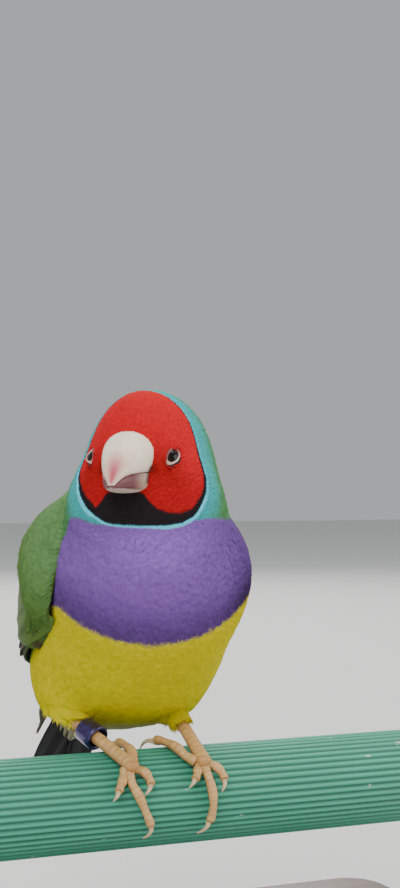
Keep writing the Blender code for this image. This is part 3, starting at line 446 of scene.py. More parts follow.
head_facing = HEAD_FRAME @ unit(np.array(CROWN_WAY))
head_foot = in_head(HEAD_FOOT)
head_rise = float(reach(head_foot, head_facing, -COAT_DEPTH_FACE))
# The line that the skin is spun along, from the tail's root to the crown: places and ways ahead
skin_line = (
    (TAIL_ROOT + 5.5 * TAIL_WAY, -TAIL_WAY),
    (TAIL_ROOT, -TAIL_WAY),
    ((-0.4, 18.5, 12.8), (0.0, -0.766, 0.643)),
    ((-0.6, 8.5, 19.6), (0.0, -0.72, 0.69)),
    ((-1.2, 0.5, 27.2), (-0.04, -0.53, 0.84)),
    (NECK_AT, (-0.12, -0.31, 0.945)),
    (head_foot, head_facing),
)
body_centres = smooth_path([place for place, _ in skin_line], BODY_RINGS + 1)[1:]
body_facings = smooth_path([facing for _, facing in skin_line], BODY_RINGS + 1)[1:]
head_rises = head_rise * np.sin(0.5 * math.pi * np.arange(1, HEAD_RINGS + 1) / (HEAD_RINGS + 0.25))
ring_centres = np.vstack([body_centres, head_foot + head_rises[:, None] * head_facing])
ring_facings = unit(np.vstack([body_facings, np.tile(head_facing, (HEAD_RINGS, 1))]))
ring_across = unit(np.array([1.0, 0.0, 0.0]) - ring_facings * ring_facings[:, :1])
ring_over = np.cross(ring_facings, ring_across)
skin_angles = (full_turn(SKIN_SIDES) - math.pi / 2.0)[:, None]
skin_ways = np.cos(skin_angles) * ring_across[:, None] + np.sin(skin_angles) * ring_over[:, None]
head_share = between(np.arange(SKIN_RINGS), THIN_FROM_RING, THIN_TO_RING)[:, None]
tail_share = between(-np.arange(SKIN_RINGS), -TAIL_RINGS, 0)[:, None]
coat_depth = COAT_DEPTH_BODY + (COAT_DEPTH_FACE - COAT_DEPTH_BODY) * head_share
coat_depth = np.broadcast_to(coat_depth + COAT_DEPTH_TAIL * tail_share, (SKIN_RINGS, SKIN_SIDES))
skin_radii = reach(ring_centres[:, None], skin_ways, -coat_depth)
skin_grid = ring_centres[:, None] + skin_ways * skin_radii[..., None]
along_share, around_share = np.meshgrid(
    np.linspace(UNWRAP_MARGIN, 1.0 - UNWRAP_MARGIN, SKIN_RINGS),
    np.linspace(UNWRAP_MARGIN, 1.0 - UNWRAP_MARGIN, SKIN_SIDES), indexing="ij",
)
skin_unwrap = np.stack([around_share, along_share], axis=-1)

# The colours of the coat. Each place on the bird has one colour, by where it is: the red mask
# with its black bib, a pale blue line, the turquoise hood, the green back, breast and belly.
# Painted light and shade lie over the purple breast and the red mask, with painted shade at the bill's base
# and behind the mouth's corner.
MASK_RED = (0.560, 0.014, 0.018)
LORES_PAINTED_SHADE = (0.330, 0.010, 0.010)
GAPE_PAINTED_SHADE = (0.045, 0.010, 0.008)
GAPE_AT = np.array([3.7, 9.3, 0.0])
GAPE_SPREAD = 0.85
LORES_AT = (-7.5, -0.5)
LORES_SPREAD = (2.2, 3.0)
BIB_BLACK = (0.020, 0.015, 0.017)
LINE_BLUE = (0.130, 0.760, 0.980)
HOOD_TURQUOISE = (0.045, 0.390, 0.400)
NAPE_GREEN = (0.080, 0.230, 0.080)
BACK_GREEN = (0.085, 0.185, 0.035)
RUMP_BLUE = (0.100, 0.330, 0.480)
BREAST_PURPLE = (0.195, 0.090, 0.360)
BELLY_YELLOW = (0.600, 0.505, 0.000)
VENT_WHITE = (0.640, 0.640, 0.420)
MASK_EDGE_Z = (-7.76, -7.75, -7.6, -7.2, -6.4, -4.4, -3.1, -1.2, 0.7, 3.0, 5.6, 7.7, 9.6)
MASK_EDGE_Y = (-20.0, -10.4, -8.9, -7.7, -6.5, -4.8, -3.6, -2.1, -1.1, -0.3, 0.4, 0.8, 1.0)
MASK_RIGHT_Z = (-9.0, -5.0, -3.0, -1.5, 0.0, 2.0, 4.0, 8.0)
MASK_RIGHT_Y = (2.2, 2.8, 2.9, 2.2, 1.4, 1.3, 1.4, 1.0)
MASK_TILT = 0.05
LINE_WIDTH = 0.50
RIM_Z = (-6.0, -3.0, 0.0, 6.0)
RIM_WIDTH = (0.9, 0.55, 0.36, 0.2)
HOOD_FADE = (0.9, 5.2)
MASK_SOFT = 0.06
LINE_SOFT = 0.07
HOOD_SOFT = 0.12
YELLOW_SOFT = 0.15
BACK_SOFT = 0.3
PAINTED_LIGHT = 0.75
LOW_SHADE = 0.38
SIDE_SHADE = 0.28
PAINTED_LIGHT_AT = (-6.0, 30.8)
PAINTED_LIGHT_SPREAD = (8.5, 6.0)
BIB_TOP_X = (0.0, 2.6, 3.4, 4.3, 5.6, 7.1, 8.7, 9.6)
BIB_TOP_Z = (-2.6, -3.4, -4.5, -5.4, -6.0, -6.2, -5.7, -5.0)
PURPLE_TOP_Y = (-6.0, -3.0, 0.5, 4.0, 6.0, 12.0)
PURPLE_TOP_Z = (34.0, 32.4, 30.4, 26.6, 22.0, 5.0)
PURPLE_FRONT_X = (-15.5, -14.9, -14.0, -12.9, -11.9, -2.4, -0.9, 1.4, 6.9, 12.0)
PURPLE_FRONT_Z = (34.2, 34.1, 33.5, 33.2, 35.5, 35.5, 33.8, 34.1, 33.8, 33.9)
PURPLE_LOW_X = (-15.2, -14.3, -12.9, -10.6, -7.9, -5.1, -1.8, 1.8, 5.0, 7.7, 9.8, 12.5, 15.0)
PURPLE_LOW_Z = (21.2, 19.8, 18.6, 17.4, 16.6, 16.2, 16.5, 17.3, 18.5, 19.9, 21.3, 23.0, 24.5)
DOWN_DARK = (0.45, 0.45, 0.45, 1.0)
DOWN_PALE = (0.85, 0.85, 0.85, 1.0)
DOWN_DEPTH = 0.0002


def paint(base, colour, share):
    """The base colours, covered by another colour by the share at each place."""
    return base * (1.0 - share[..., None]) + np.array(colour) * share[..., None]


def past_edge(distance, softness):
    """1 where the distance is above zero and 0 below it, soft on either side of the edge."""
    return between(distance, -softness, softness)


def patch_at(across, up, middle, spread):
    """A round patch that fades outwards, 1 in its middle."""
    return np.exp(-(((across - middle[0]) / spread[0]) ** 2) - ((up - middle[1]) / spread[1]) ** 2)


def behind_mask(points):
    """How far each place is behind the mask's edge, and the same places in the head's frame."""
    local = (points - HEAD_AT) @ HEAD_FRAME
    tilted = local[:, 2] + MASK_TILT * local[:, 0]
    on_right = between(-local[:, 0], 1.0, 5.0)
    back = local[:, 1] + np.interp(tilted, MASK_RIGHT_Z, MASK_RIGHT_Y) * on_right
    nearest = np.full(len(points), np.inf)
    corners = np.stack([MASK_EDGE_Y, MASK_EDGE_Z], axis=-1)
    for start, end in zip(corners[:-1], corners[1:]):
        length = np.linalg.norm(end - start)
        way = (end - start) / length
        past = np.clip((back - start[0]) * way[0] + (tilted - start[1]) * way[1], 0.0, length)
        off_back = back - start[0] - past * way[0]
        off_up = tilted - start[1] - past * way[1]
        nearest = np.minimum(nearest, np.hypot(off_back, off_up))
    outside = (back > np.interp(tilted, MASK_EDGE_Z, MASK_EDGE_Y)) | (tilted < MASK_EDGE_Z[0])
    return np.where(outside, nearest, -nearest), local


def above_purple(points):
    """How far each place is above the purple's top, which meets the mask's blue line in front."""
    x, y, z = points.T
    in_front = np.interp(x, PURPLE_FRONT_X, PURPLE_FRONT_Z)
    return z - np.where(y < PURPLE_TOP_Y[0], in_front, np.interp(y, PURPLE_TOP_Y, PURPLE_TOP_Z))


def above_yellow(points):
    """How far each place is above the edge between the yellow belly and the purple breast."""
    return points[:, 2] - np.interp(points[:, 0], PURPLE_LOW_X, PURPLE_LOW_Z)


def mask_at(local, behind):
    """The colours of the face, by its own frame: red with painted light on the crown and painted shade low on
    the cheeks, at the bill and behind the mouth's corner, with black bib and rim.
    """
    # The red is painted darker low on the cheeks and lighter up on the crown: painted shade and painted light
    # from above.
    lit_and_shaded_reds = np.array(MASK_RED) * (0.80 + 0.28 * between(local[:, 2], -5.0, 3.0)[:, None])
    # Painted shade on the lores beside the bill.
    lores_shade = patch_at(local[:, 1], local[:, 2], LORES_AT, LORES_SPREAD)
    colours = paint(lit_and_shaded_reds, LORES_PAINTED_SHADE, 0.8 * lores_shade)
    # A spot of painted shade behind the mouth's corner.
    from_gape = np.linalg.norm(np.abs(local) - GAPE_AT, axis=1)
    colours = paint(colours, GAPE_PAINTED_SHADE, 0.85 * np.exp(-((from_gape / GAPE_SPREAD) ** 2)))
    below_top = np.interp(np.abs(local[:, 0]), BIB_TOP_X, BIB_TOP_Z) - local[:, 2]
    bib = past_edge(below_top, 0.2) * between(-local[:, 1], 1.0, 3.0)
    rim = past_edge(behind + np.interp(local[:, 2], RIM_Z, RIM_WIDTH), 0.1)
    return paint(colours, BIB_BLACK, np.maximum(bib, rim))


def plumage_at(points):
    """The colour of the coat at each place of the bird's frame."""
    x, y, z = points.T
    behind, local = behind_mask(points)
    over_purple = above_purple(points)
    over_yellow = above_yellow(points)
    colours = np.tile(np.array(BELLY_YELLOW), (len(points), 1))
    colours = paint(colours, VENT_WHITE, between(-z + 0.25 * np.maximum(y, 0.0), -3.0, 1.5) * 0.8)
    colours = paint(colours, VENT_WHITE, between(y - 0.2 * z, 12.0, 17.0))
    # The purple gets painted light, brightest high on the breast a little to the bird's right, and painted
    # shade low towards the yellow and on the bird's left side.
    light = 0.86 + PAINTED_LIGHT * patch_at(x, z, PAINTED_LIGHT_AT, PAINTED_LIGHT_SPREAD)
    shade = LOW_SHADE * between(-over_yellow, -7.0, 0.0) + SIDE_SHADE * between(x, 4.0, 11.0)
    purple = np.array(BREAST_PURPLE) * (light - shade)[:, None]
    colours = paint(colours, purple, past_edge(over_yellow, YELLOW_SOFT))
    wing_along = (points - WING_AXIS_AT) @ WING_WAY
    upper = (points - WING_AXIS_AT) @ WING_OVER
    colours = paint(colours, BACK_GREEN, between(upper, -2.5, -0.5) * past_edge(over_purple, BACK_SOFT))
    colours = paint(colours, RUMP_BLUE, between(wing_along, 24.0, 29.0) * between(upper, 0.5, 2.5))
    hood_colours = np.tile(np.array(HOOD_TURQUOISE), (len(points), 1))
    hood_colours = paint(hood_colours, NAPE_GREEN, between(behind, *HOOD_FADE))
    colours = paint(colours, hood_colours, past_edge(over_purple, HOOD_SOFT) * between(z, 30.0, 31.0))
    line_width = LINE_WIDTH * (0.5 + 0.5 * between(np.abs(local[:, 0]), 2.0, 6.0))
    front = between(-local[:, 1], 2.0, 5.0)
    line = past_edge(line_width - behind, LINE_SOFT)
    colours = paint(colours, LINE_BLUE, line * (0.25 + 0.75 * front))
    return paint(colours, mask_at(local, behind), past_edge(-behind, MASK_SOFT))


def toned_colours(made, shader, tone):
    """The mesh's own colours times a tone, on the shader."""
    link_in(made, mix_in(made, 1.0, own_colours(made), tone, "MULTIPLY"), shader.inputs["Base Color"])


# The wings' own frame comes with the colours, because the back and rump are told by it
WING_AXIS_AT = np.array([-0.4, -2.0, 27.0])
WING_SLOPE = 37.5
WING_WAY = np.array([0.0, math.cos(math.radians(WING_SLOPE)), -math.sin(math.radians(WING_SLOPE))])
WING_OVER = np.array([0.0, -WING_WAY[2], WING_WAY[1]])

feathered_skin, shader = finish_of("skin under the coat", 0.85)
down = noise_in(feathered_skin, (2600.0, 2600.0, 2600.0), 3.0)
toned_colours(feathered_skin, shader, mix_in(feathered_skin, down, DOWN_DARK, DOWN_PALE))
bump_in(feathered_skin, shader, down, DOWN_DEPTH, 0.8)

skin_points, skin_faces = closed_form(skin_grid)
skin_map = np.vstack([skin_unwrap.reshape(-1, 2), [(0.5, 0.005), (0.5, 0.995)]])
show(
    "skin", skin_points, skin_faces, feathered_skin, ("torso", "neck", "head"),
    plumage_at(skin_points), {"OFBake": skin_map},
)

# The small feathers of the coat. Short vanes with frayed tips, rooted in the skin and laid over
# one another like tiles, away from the bill and back to the tail, shortest round bill and eyes.
EYE_AT = {1: (4.7, -4.9, 0.7), -1: (-4.7, -4.0, 0.7)}
EYE_RADIUS = 2.2
EYE_DEPTH = 2.05
BARE_EYE = 1.45
SHORT_ROUND_EYE = 2.4
LID_CENTRE = (0.02, 0.40)
LID_TILT = math.radians(-38.0)
LID_LONG = 1.5
LID_NARROW = 0.66
LID_BARE = 0.20
BARE_SHIFT = (0.08, 0.12)
BILL_ROOT = in_head((0.0, -9.0, 0.6))
LEG_BALLS = {"right": (-6.4, -6.5, -0.72), "left": (4.9, -6.3, -0.78)}
LEG_WAYS = {"right": (-0.337, 0.867, 0.367), "left": (-0.02, 0.882, 0.471)}
CUFF_INNER = 1.4
CUFF_REACH = 2.7
CUFF_FROM_BALL = 8.0
CUFF_LENGTH = 3.8
LOW_BELLY = 12.0
LONGEST_BODY = 2.7
SHORTER_ON_HEAD = 1.5
SHORT_AT_BILL = 0.62
LONGER_AT_VENT = 0.7
LONGER_AT_RUMP = 0.8
SHORTER_AT_MASK = 0.6
SHORTER_AT_YELLOW = 0.3
FLAT_BEND = 1.0 / 11.0
SHORT_BEND = 1.0 / 8.0
CANDIDATES = 200000
PATCH = 0.003
VANE_ROUND = 0.30
VANE_LEAN = 0.12
VANE_CUP = 0.10
LENGTH_VARIES = (0.85, 1.15)
LIE_VARIES = 0.10
TIP_PROUD = 0.1
ROOT_SUNK = 0.06
BELLY_CLEAR = 0.15
COLOUR_JITTER = 0.02
BARB_SHIFTS = 8.0
STREAK_DARK = (0.78, 0.78, 0.78, 1.0)
STREAK_PALE = (1.18, 1.18, 1.18, 1.0)
draw = np.random.default_rng(7)
# One vane, as across and along: a stem, a broad middle and four frayed points
VANE_ACROSS = np.array([-0.3, 0.3, -0.85, 0.0, 0.85, -1.0, -0.5, 0.0, 0.5, 1.0, -0.72, -0.24, 0.24, 0.72])
VANE_ALONG = np.array([0.0, 0.0, 0.35, 0.38, 0.35, 0.66, 0.72, 0.74, 0.72, 0.66, 0.92, 1.0, 1.0, 0.92])
VANE_TIPS = np.where(VANE_ALONG > 0.8, 1.0, 0.0)
VANE_FACES = np.array([
    (1, 0, 3), (3, 0, 2), (4, 1, 3), (6, 2, 5), (3, 2, 6), (7, 3, 6), (8, 3, 7), (4, 3, 8), (9, 4, 8),
    (6, 5, 10), (7, 6, 11), (8, 7, 12), (9, 8, 13),
])


def eye_place(side):
    """The eye's centre and its outward direction, for side 1 on the left or -1 on the right."""
    point = in_head(EYE_AT[side])[None]
    for _ in range(6):
        rise = slope(point)
        point = point - rise * (height(point) / (rise**2).sum(axis=-1))[..., None]
    outward = unit(slope(point)[0])
    return point[0] - outward * EYE_DEPTH, outward


def eye_ways(outward):
    """The ways to the front and upwards over the eye's own surface."""
    rise_way = unit(HEAD_FRAME[:, 2] - outward * (HEAD_FRAME[:, 2] @ outward))
    front = -HEAD_FRAME[:, 1]
    return unit(front - outward * (front @ outward) - rise_way * (front @ rise_way)), rise_way


def lid_opening(spin):
    """The lids' egg-shaped opening, as places to the front of the eye's middle and above it."""
    far = LID_LONG * np.cos(spin)
    wide = LID_NARROW * np.sin(spin) * (1.0 + 0.2 * np.cos(spin))
    return np.stack([
        LID_CENTRE[0] + far * math.cos(LID_TILT) - wide * math.sin(LID_TILT),
        LID_CENTRE[1] + far * math.sin(LID_TILT) + wide * math.cos(LID_TILT),
    ], axis=-1)


def feather_sizes(points):
    """Length, half width and spacing of the feathers at each place, in millimetres."""
    behind, local = behind_mask(points)
    from_bill = np.linalg.norm(points - BILL_ROOT, axis=1)
    on_head = between(-behind, -5.0, 1.0) * between(local[:, 2], -9.5, -7.0)
    off_bill = SHORT_AT_BILL + (1.0 - SHORT_AT_BILL) * between(from_bill, 3.0, 8.0)
    length = (LONGEST_BODY - SHORTER_ON_HEAD * on_head) * off_bill
    length = length + LONGER_AT_VENT * between(-points[:, 2], -10.0, -4.0)
    length = length + LONGER_AT_RUMP * between(points[:, 1], 16.0, 26.0)
    at_mask_edge = np.exp(-(((behind - 0.2) / 1.2) ** 2))
    at_yellow_edge = np.exp(-((above_yellow(points) / 1.6) ** 2))
    length = length * (1.0 - SHORTER_AT_MASK * at_mask_edge) * (1.0 - SHORTER_AT_YELLOW * at_yellow_edge)
    return length, 0.2 * length + 0.02, 0.10 * length + 0.05


def thinned(places, spacings):
    """Which places stay, when each one that stays clears the others out of its spacing."""
    tree = kdtree.KDTree(len(places))
    for index, place in enumerate(places):
        tree.insert(place, index)
    tree.balance()
    free = np.ones(len(places), bool)
    kept = []
    for index, place in enumerate(places):
        if free[index]:
            kept.append(index)
            for _, other, _ in tree.find_range(place, spacings[index]):
                free[other] = False
    return np.array(kept)


next_side = np.roll(skin_grid, -1, axis=1)
quads = np.stack([skin_grid[:-1], skin_grid[1:], next_side[1:], next_side[:-1]], axis=2).reshape(-1, 4, 3)
crown_point = np.tile(skin_points[-1], (SKIN_SIDES, 1))
quads = np.concatenate([quads, np.stack([skin_grid[-1], crown_point, crown_point, next_side[-1]], axis=1)])
quad_area = 0.5 * np.linalg.norm(np.cross(quads[:, 2] - quads[:, 0], quads[:, 3] - quads[:, 1]), axis=1)
quad_spacing = feather_sizes(quads.mean(axis=1))[2]
weight = quad_area / quad_spacing**2
picked = draw.choice(len(quads), CANDIDATES, p=weight / weight.sum())
share_a, share_b = draw.random((2, CANDIDATES, 1))
corner = quads[picked]
roots = (
    corner[:, 0] * (1 - share_a) * (1 - share_b) + corner[:, 1] * share_a * (1 - share_b)
    + corner[:, 2] * share_a * share_b + corner[:, 3] * (1 - share_a) * share_b
)
ring_of = picked // SKIN_SIDES
side_of = picked % SKIN_SIDES
root_unwrap = UNWRAP_MARGIN + (1.0 - 2.0 * UNWRAP_MARGIN) * np.stack([
    (side_of + share_b[:, 0]) / SKIN_SIDES, (ring_of + share_a[:, 0]) / SKIN_RINGS,
], axis=-1)
lengths, half_widths, spacings = feather_sizes(roots)
kept = thinned(roots, spacings)
roots, root_unwrap, ring_of, side_of = roots[kept], root_unwrap[kept], ring_of[kept], side_of[kept]
lengths, half_widths = lengths[kept], half_widths[kept]

root_up = unit(slope(roots))
streams = skin_grid[np.maximum(ring_of - 1, 0), side_of] - skin_grid[ring_of, side_of]
away = unit(roots - BILL_ROOT)
from_bill = np.linalg.norm(roots - BILL_ROOT, axis=1)
by_stream = between(from_bill, 9.0, 17.0)[:, None]
lie = away * (1.0 - by_stream) + unit(streams) * by_stream
lie = unit(lie - root_up * (lie * root_up).sum(axis=1, keepdims=True))
lie = unit(lie + np.cross(root_up, lie) * draw.normal(0.0, LIE_VARIES, (len(roots), 1)))

# Plumes that stand out along each leg as a cuff round its top
straight = np.zeros(len(roots))
for side_name, leg_way in LEG_WAYS.items():
    down_leg = -unit(np.array(leg_way))
    to_root = roots - np.array(LEG_BALLS[side_name])
    from_leg = to_root - np.outer(to_root @ down_leg, down_leg)
    near_leg = (-to_root @ down_leg > CUFF_FROM_BALL) & (root_up @ down_leg > 0.1)
    in_cuff = 1.0 - between(np.linalg.norm(from_leg, axis=1), CUFF_INNER, CUFF_REACH)
    share = np.where(near_leg, in_cuff, 0.0)[:, None]
    lie = unit(lie * (1.0 - share) + down_leg * share)
    root_up = unit(root_up * (1.0 - share) + unit(from_leg) * share)
    lie = unit(lie - root_up * (lie * root_up).sum(axis=1, keepdims=True))
    lengths = lengths * (1.0 - share[:, 0]) + CUFF_LENGTH * share[:, 0]
    straight = np.maximum(straight, share[:, 0])

# No plumes on the bare lids, and short ones round them that turn away from the eye
seen = np.ones(len(roots), bool)
for side in (1, -1):
    eye_centre, eye_outward = eye_place(side)
    to_root = roots - eye_centre
    front, rise_way = eye_ways(eye_outward)
    off_front = to_root @ front - LID_CENTRE[0] + BARE_SHIFT[0]
    off_up = to_root @ rise_way - LID_CENTRE[1] + BARE_SHIFT[1]
    far = (off_front * math.cos(LID_TILT) + off_up * math.sin(LID_TILT)) / (LID_LONG + LID_BARE)
    wide = (off_up * math.cos(LID_TILT) - off_front * math.sin(LID_TILT)) / (LID_NARROW + LID_BARE)
    from_axis = BARE_EYE * np.sqrt(far**2 + wide**2)
    near = (to_root @ eye_outward > 0.0) & (from_axis < BARE_EYE + SHORT_ROUND_EYE)
    seen &= ~(near & (from_axis < BARE_EYE))
    shorter = np.where(near, 0.55 + 0.45 * between(from_axis, BARE_EYE, BARE_EYE + SHORT_ROUND_EYE), 1.0)
    lengths, half_widths = lengths * shorter, half_widths * shorter
    round_eye = to_root - np.outer(to_root @ eye_outward, eye_outward)
    outwards = unit(round_eye - root_up * (round_eye * root_up).sum(axis=1, keepdims=True))
    turning = 0.75 * (1.0 - between(from_axis, BARE_EYE + 0.2, BARE_EYE + 1.6))
    turn_share = np.where(near, turning, 0.0)[:, None]
    facing_eye = -(lie * outwards).sum(axis=1, keepdims=True) > 0.2
    lie = np.where(facing_eye, unit(lie * (1.0 - turn_share) + outwards * turn_share), lie)
roots, root_unwrap, root_up, lie = roots[seen], root_unwrap[seen], root_up[seen], lie[seen]
lengths, half_widths, straight = lengths[seen], half_widths[seen], straight[seen]


def frayed(count, fray, wobble):
    """Places along and across each vane, its tips frayed and its edges uneven."""
    along = VANE_ALONG[:, None] + VANE_TIPS[:, None] * draw.uniform(*fray, (count, len(VANE_ALONG), 1))
    across = VANE_ACROSS[:, None] + draw.normal(0.0, wobble, (count, len(VANE_ALONG), 1))
    return along, across


def lifted(along):
    """How far a plume has come up to its full lift, by the share of its length."""
    return 1.0 - (1.0 - np.clip(along, 0.0, 1.0)) ** 1.7


def show_plumes(name, points, colours, normals, unwrap):
    """The vanes as one piece, each with its own patch of the map at its root's place."""
    count = len(points)
    barbs = np.stack([0.5 + 0.5 * VANE_ACROSS, VANE_ALONG], axis=-1)
    patch = unwrap[:, None] + (barbs - 0.5) * PATCH
    barb_map = barbs + draw.random((count, 1, 2)) * BARB_SHIFTS
    faces = (VANE_FACES + np.arange(count)[:, None, None] * len(VANE_ALONG)).reshape(-1, 3)
    print(name, count, "feathers")
    show(
        name, points.reshape(-1, 3), faces, soft_plumes, (),
        np.clip(colours, 0.0, 1.0).reshape(-1, 3),
        {"Barbs": barb_map.reshape(-1, 2), "OFBake": patch.reshape(-1, 2)}, normals.reshape(-1, 3),
    )


def feather_coat(chosen, name):
    """One piece of the coat: a frayed vane at each chosen root."""
    count = len(chosen)
    at, up, way = roots[chosen][:, None], root_up[chosen][:, None], lie[chosen][:, None]
    upright = straight[chosen][:, None, None]
    sideways = np.cross(up, way)
    length = (lengths[chosen] * draw.uniform(*LENGTH_VARIES, count))[:, None, None]
    half = half_widths[chosen][:, None, None]
    along, across = frayed(count, (-0.12, 0.06), 0.05)
    depth = -height(roots[chosen])[:, None, None] * (1.0 - 0.8 * upright)
    bend = (FLAT_BEND + (SHORT_BEND - FLAT_BEND) * between(1.9 - length, 0.0, 0.8)) * (1.0 - upright)
    rise = (depth + TIP_PROUD) * lifted(along) - 0.5 * bend * (length * along) ** 2 - ROOT_SUNK
    rise = rise + draw.normal(0.0, 0.035, (count, 1, 1)) * along - VANE_CUP * half * across**2
    points = at + way * length * along + sideways * half * across + up * rise
    low = (roots[chosen][:, 2] < LOW_BELLY) & (straight[chosen] < 0.1)
    over = height(points[low])
    points[low] -= up[low] * np.maximum(over - BELLY_CLEAR, 0.0)[..., None]
    normals = unit(up + sideways * across * VANE_ROUND - way * VANE_LEAN)
    tone = draw.normal(1.0, 0.055, (count, 1, 1)) * (0.90 + 0.16 * VANE_ALONG[:, None])
    jittered = points + draw.normal(0.0, COLOUR_JITTER, (count, 1, 3))
    plumage = plumage_at(jittered.reshape(-1, 3)).reshape(count, -1, 3)
    show_plumes(name, points, plumage * tone, normals, root_unwrap[chosen])


def plume_finish(name, roughness, barb_scale, depth, sheen):
    """Feather: its own colour, drawn out in fine streaks along the barbs, with a soft sheen."""
    made, shader = finish_of(
        name, roughness, Specular_IOR_Level=0.04, Sheen_Weight=sheen, Sheen_Roughness=0.45,
    )
    barbs = node_in(made, "ShaderNodeUVMap", uv_map="Barbs").outputs["UV"]
    drawn_out = node_in(made, "ShaderNodeMapping", {"Vector": barbs, "Scale": (barb_scale, 1.6, 1.0)})
    streaks = node_in(
        made, "ShaderNodeTexNoise", {"Vector": drawn_out.outputs["Vector"], "Scale": 1.0, "Detail": 2.0}
    ).outputs["Fac"]
    toned_colours(made, shader, mix_in(made, streaks, STREAK_DARK, STREAK_PALE))
    bump_in(made, shader, streaks, depth, 0.6)
    return made


soft_plumes = plume_finish("soft body feather", 0.85, 9.0, 0.00004, 0.02)
mask_side, _ = behind_mask(roots)
is_mask = mask_side < 0.4
is_hood = ~is_mask & (above_purple(roots) > 0.0) & (mask_side < 9.0) & (roots[:, 2] > 30.0)
is_back = ~is_mask & ~is_hood & ((roots - WING_AXIS_AT) @ WING_OVER > -2.0)
is_breast = ~is_mask & ~is_hood & ~is_back & (above_yellow(roots) > 0.0)
is_belly = ~is_mask & ~is_hood & ~is_back & ~is_breast
for piece_name, chosen, slot_name in (
    ("coat_mask", is_mask, "mask_feathers"), ("coat_hood", is_hood, "hood_feathers"),
    ("coat_breast", is_breast, "body_feathers"), ("coat_belly", is_belly, "body_feathers"),
    ("coat_back", is_back, "body_feathers"),
):
    feather_coat(np.flatnonzero(chosen), piece_name)

# The wings. Folded, each a pad of small coverts over stiff flight feathers that lie in tiers like
# a closed fan. The vanes are green on the outer webs, and the long primaries are dark brown.
WING_CLEAR = 0.5
WING_CORE_END = 43.0
WING_TUCK = {1: 3.0, -1: 0.0}
WING_TUCK_END = (17.0, 40.0)
LOWER_EDGE_ALONG = (-3, 0, 2, 4, 7, 13, 19, 26, 36, 46, 54, 60)
LOWER_EDGE_ANGLE = (28, 3, -6, -15, -18, -12, -6, 2, 18, 36, 52, 62)
UPPER_EDGE_ALONG = (-3, -1, 1, 4, 10, 20, 30, 40, 50, 56, 60)
UPPER_EDGE_ANGLE = (40, 52, 60, 70, 82, 85, 84, 80, 76, 73, 70)
PAD_ALONG = (-3.0, 0.0, 4.0)
PAD_EDGE = (-0.9, -0.2, 0.45)
CROWN_ALONG = (-3.0, 1.0, 6.0, 14.0, 24.0, 34.0, 43.0)
WING_CROWN = {
    1: (0.1, 0.8, 1.5, 1.25, 0.8, 0.45, 0.25),
    -1: (0.1, 1.0, 2.5, 2.3, 1.3, 0.6, 0.25),
}
PRIMARY_TIPS = (60.0, 59.3, 57.8, 55.6, 52.9, 49.8, 46.6, 43.6)
PRIMARY_STRIP = 0.85
SECONDARY_TIPS = (41.5, 41.0, 40.2, 39.0, 37.6, 35.6, 32.0, 27.2)
SECONDARY_OFFSETS = (1.4, 2.6, 3.9, 5.2, 6.6, 8.3, 10.2, 12.0)
SECONDARY_HALF_WIDTHS = (2.6, 2.6, 2.7, 2.8, 2.9, 3.1, 3.2, 3.0)
SHOULDER_TRIES = 36000
SHOULDER_START = -2.8
SHOULDER_END = 14.0
SHOULDER_BARE = 7.0
SHOULDER_SPACING = 0.30
SHOULDER_TUCK = 1.3
SHOULDER_LIFT = 0.62
PRIMARY_ROOT = 24.0
PRIMARY_LEVEL = 0.46
PRIMARY_LAYER = 0.15
SECONDARY_LEVEL = 0.82
SECONDARY_LAYER = 0.16
PRIMARY_HALF_WIDTH = 2.1
SECONDARY_ROOT = 9.0
BROWN_SECONDARIES = 5
LOW_COVERTS = 4
LOW_COVERT_ROOT = 12.0
LOW_COVERT_TIP = 27.5
LOW_COVERT_HALF_WIDTH = 1.4
COVERTS = 9
COVERT_ROOT = 7.0
COVERT_TIP = 18.6
COVERT_STRIP = 2.35
COVERT_HALF_WIDTH = 1.9
VANE_THICK = 0.2
PRIMARY_BROWN = (0.060, 0.040, 0.026)
PRIMARY_EDGE = (0.190, 0.170, 0.095)
WING_GREEN = (0.070, 0.125, 0.017)
WING_OLIVE = (0.085, 0.110, 0.030)
WING_GREEN_EDGE = (0.096, 0.165, 0.028)
SHOULDER_GREEN = (0.118, 0.245, 0.086)


def wing_edges(along):
    """Lower and upper edge of the folded wing, as angles round the body in degrees."""
    lower = np.interp(along, LOWER_EDGE_ALONG, LOWER_EDGE_ANGLE)
    upper = np.interp(along, UPPER_EDGE_ALONG, UPPER_EDGE_ANGLE)
    return lower, upper


def wing_axis(along, side):
    """Places on the wing's axis, moved back where the wing is tucked."""
    along = along + WING_TUCK[side] * np.interp(along, WING_TUCK_END, (1.0, 0.0))
    return WING_AXIS_AT + along[..., None] * WING_WAY


def wing_point(along, angle, level, side):
    """A place on the wing, at this height above the body and tail."""
    along, angle, level = np.broadcast_arrays(along, np.radians(angle), level)
    centres = wing_axis(along, side)
    ways = np.cos(angle)[..., None] * np.array([side, 0.0, 0.0]) + np.sin(angle)[..., None] * WING_OVER
    return centres + ways * reach(centres, ways, level, GUIDE)[..., None]


def wing_crown(along, angle, side):
    """How far the wing's pad swells, from nothing at its edges to most along its middle."""
    lower, upper = wing_edges(along)
    across = np.clip((angle - lower) / (upper - lower), 0.0, 1.0)
    return np.sin(math.pi * across) ** 0.6 * np.interp(along, CROWN_ALONG, WING_CROWN[side])


def shoulder_edge(along):
    """Where the wing comes out of the breast's feathers, as angles round the body in degrees."""
    return wing_edges(along)[0] + SHOULDER_BARE * (1.0 - between(along, 5.0, 13.0))


def pad_height(along, angle, side):
    """The height of the wing's pad of coverts above the body, its front edge sunk in the coat."""
    at_edge = 1.0 - between(angle - shoulder_edge(along), 0.0, 9.0)
    tucked_in = SHOULDER_TUCK * at_edge * (1.0 - between(along, 10.0, 17.0))
    return WING_CLEAR + np.interp(along, PAD_ALONG, PAD_EDGE) - tucked_in + wing_crown(along, angle, side)


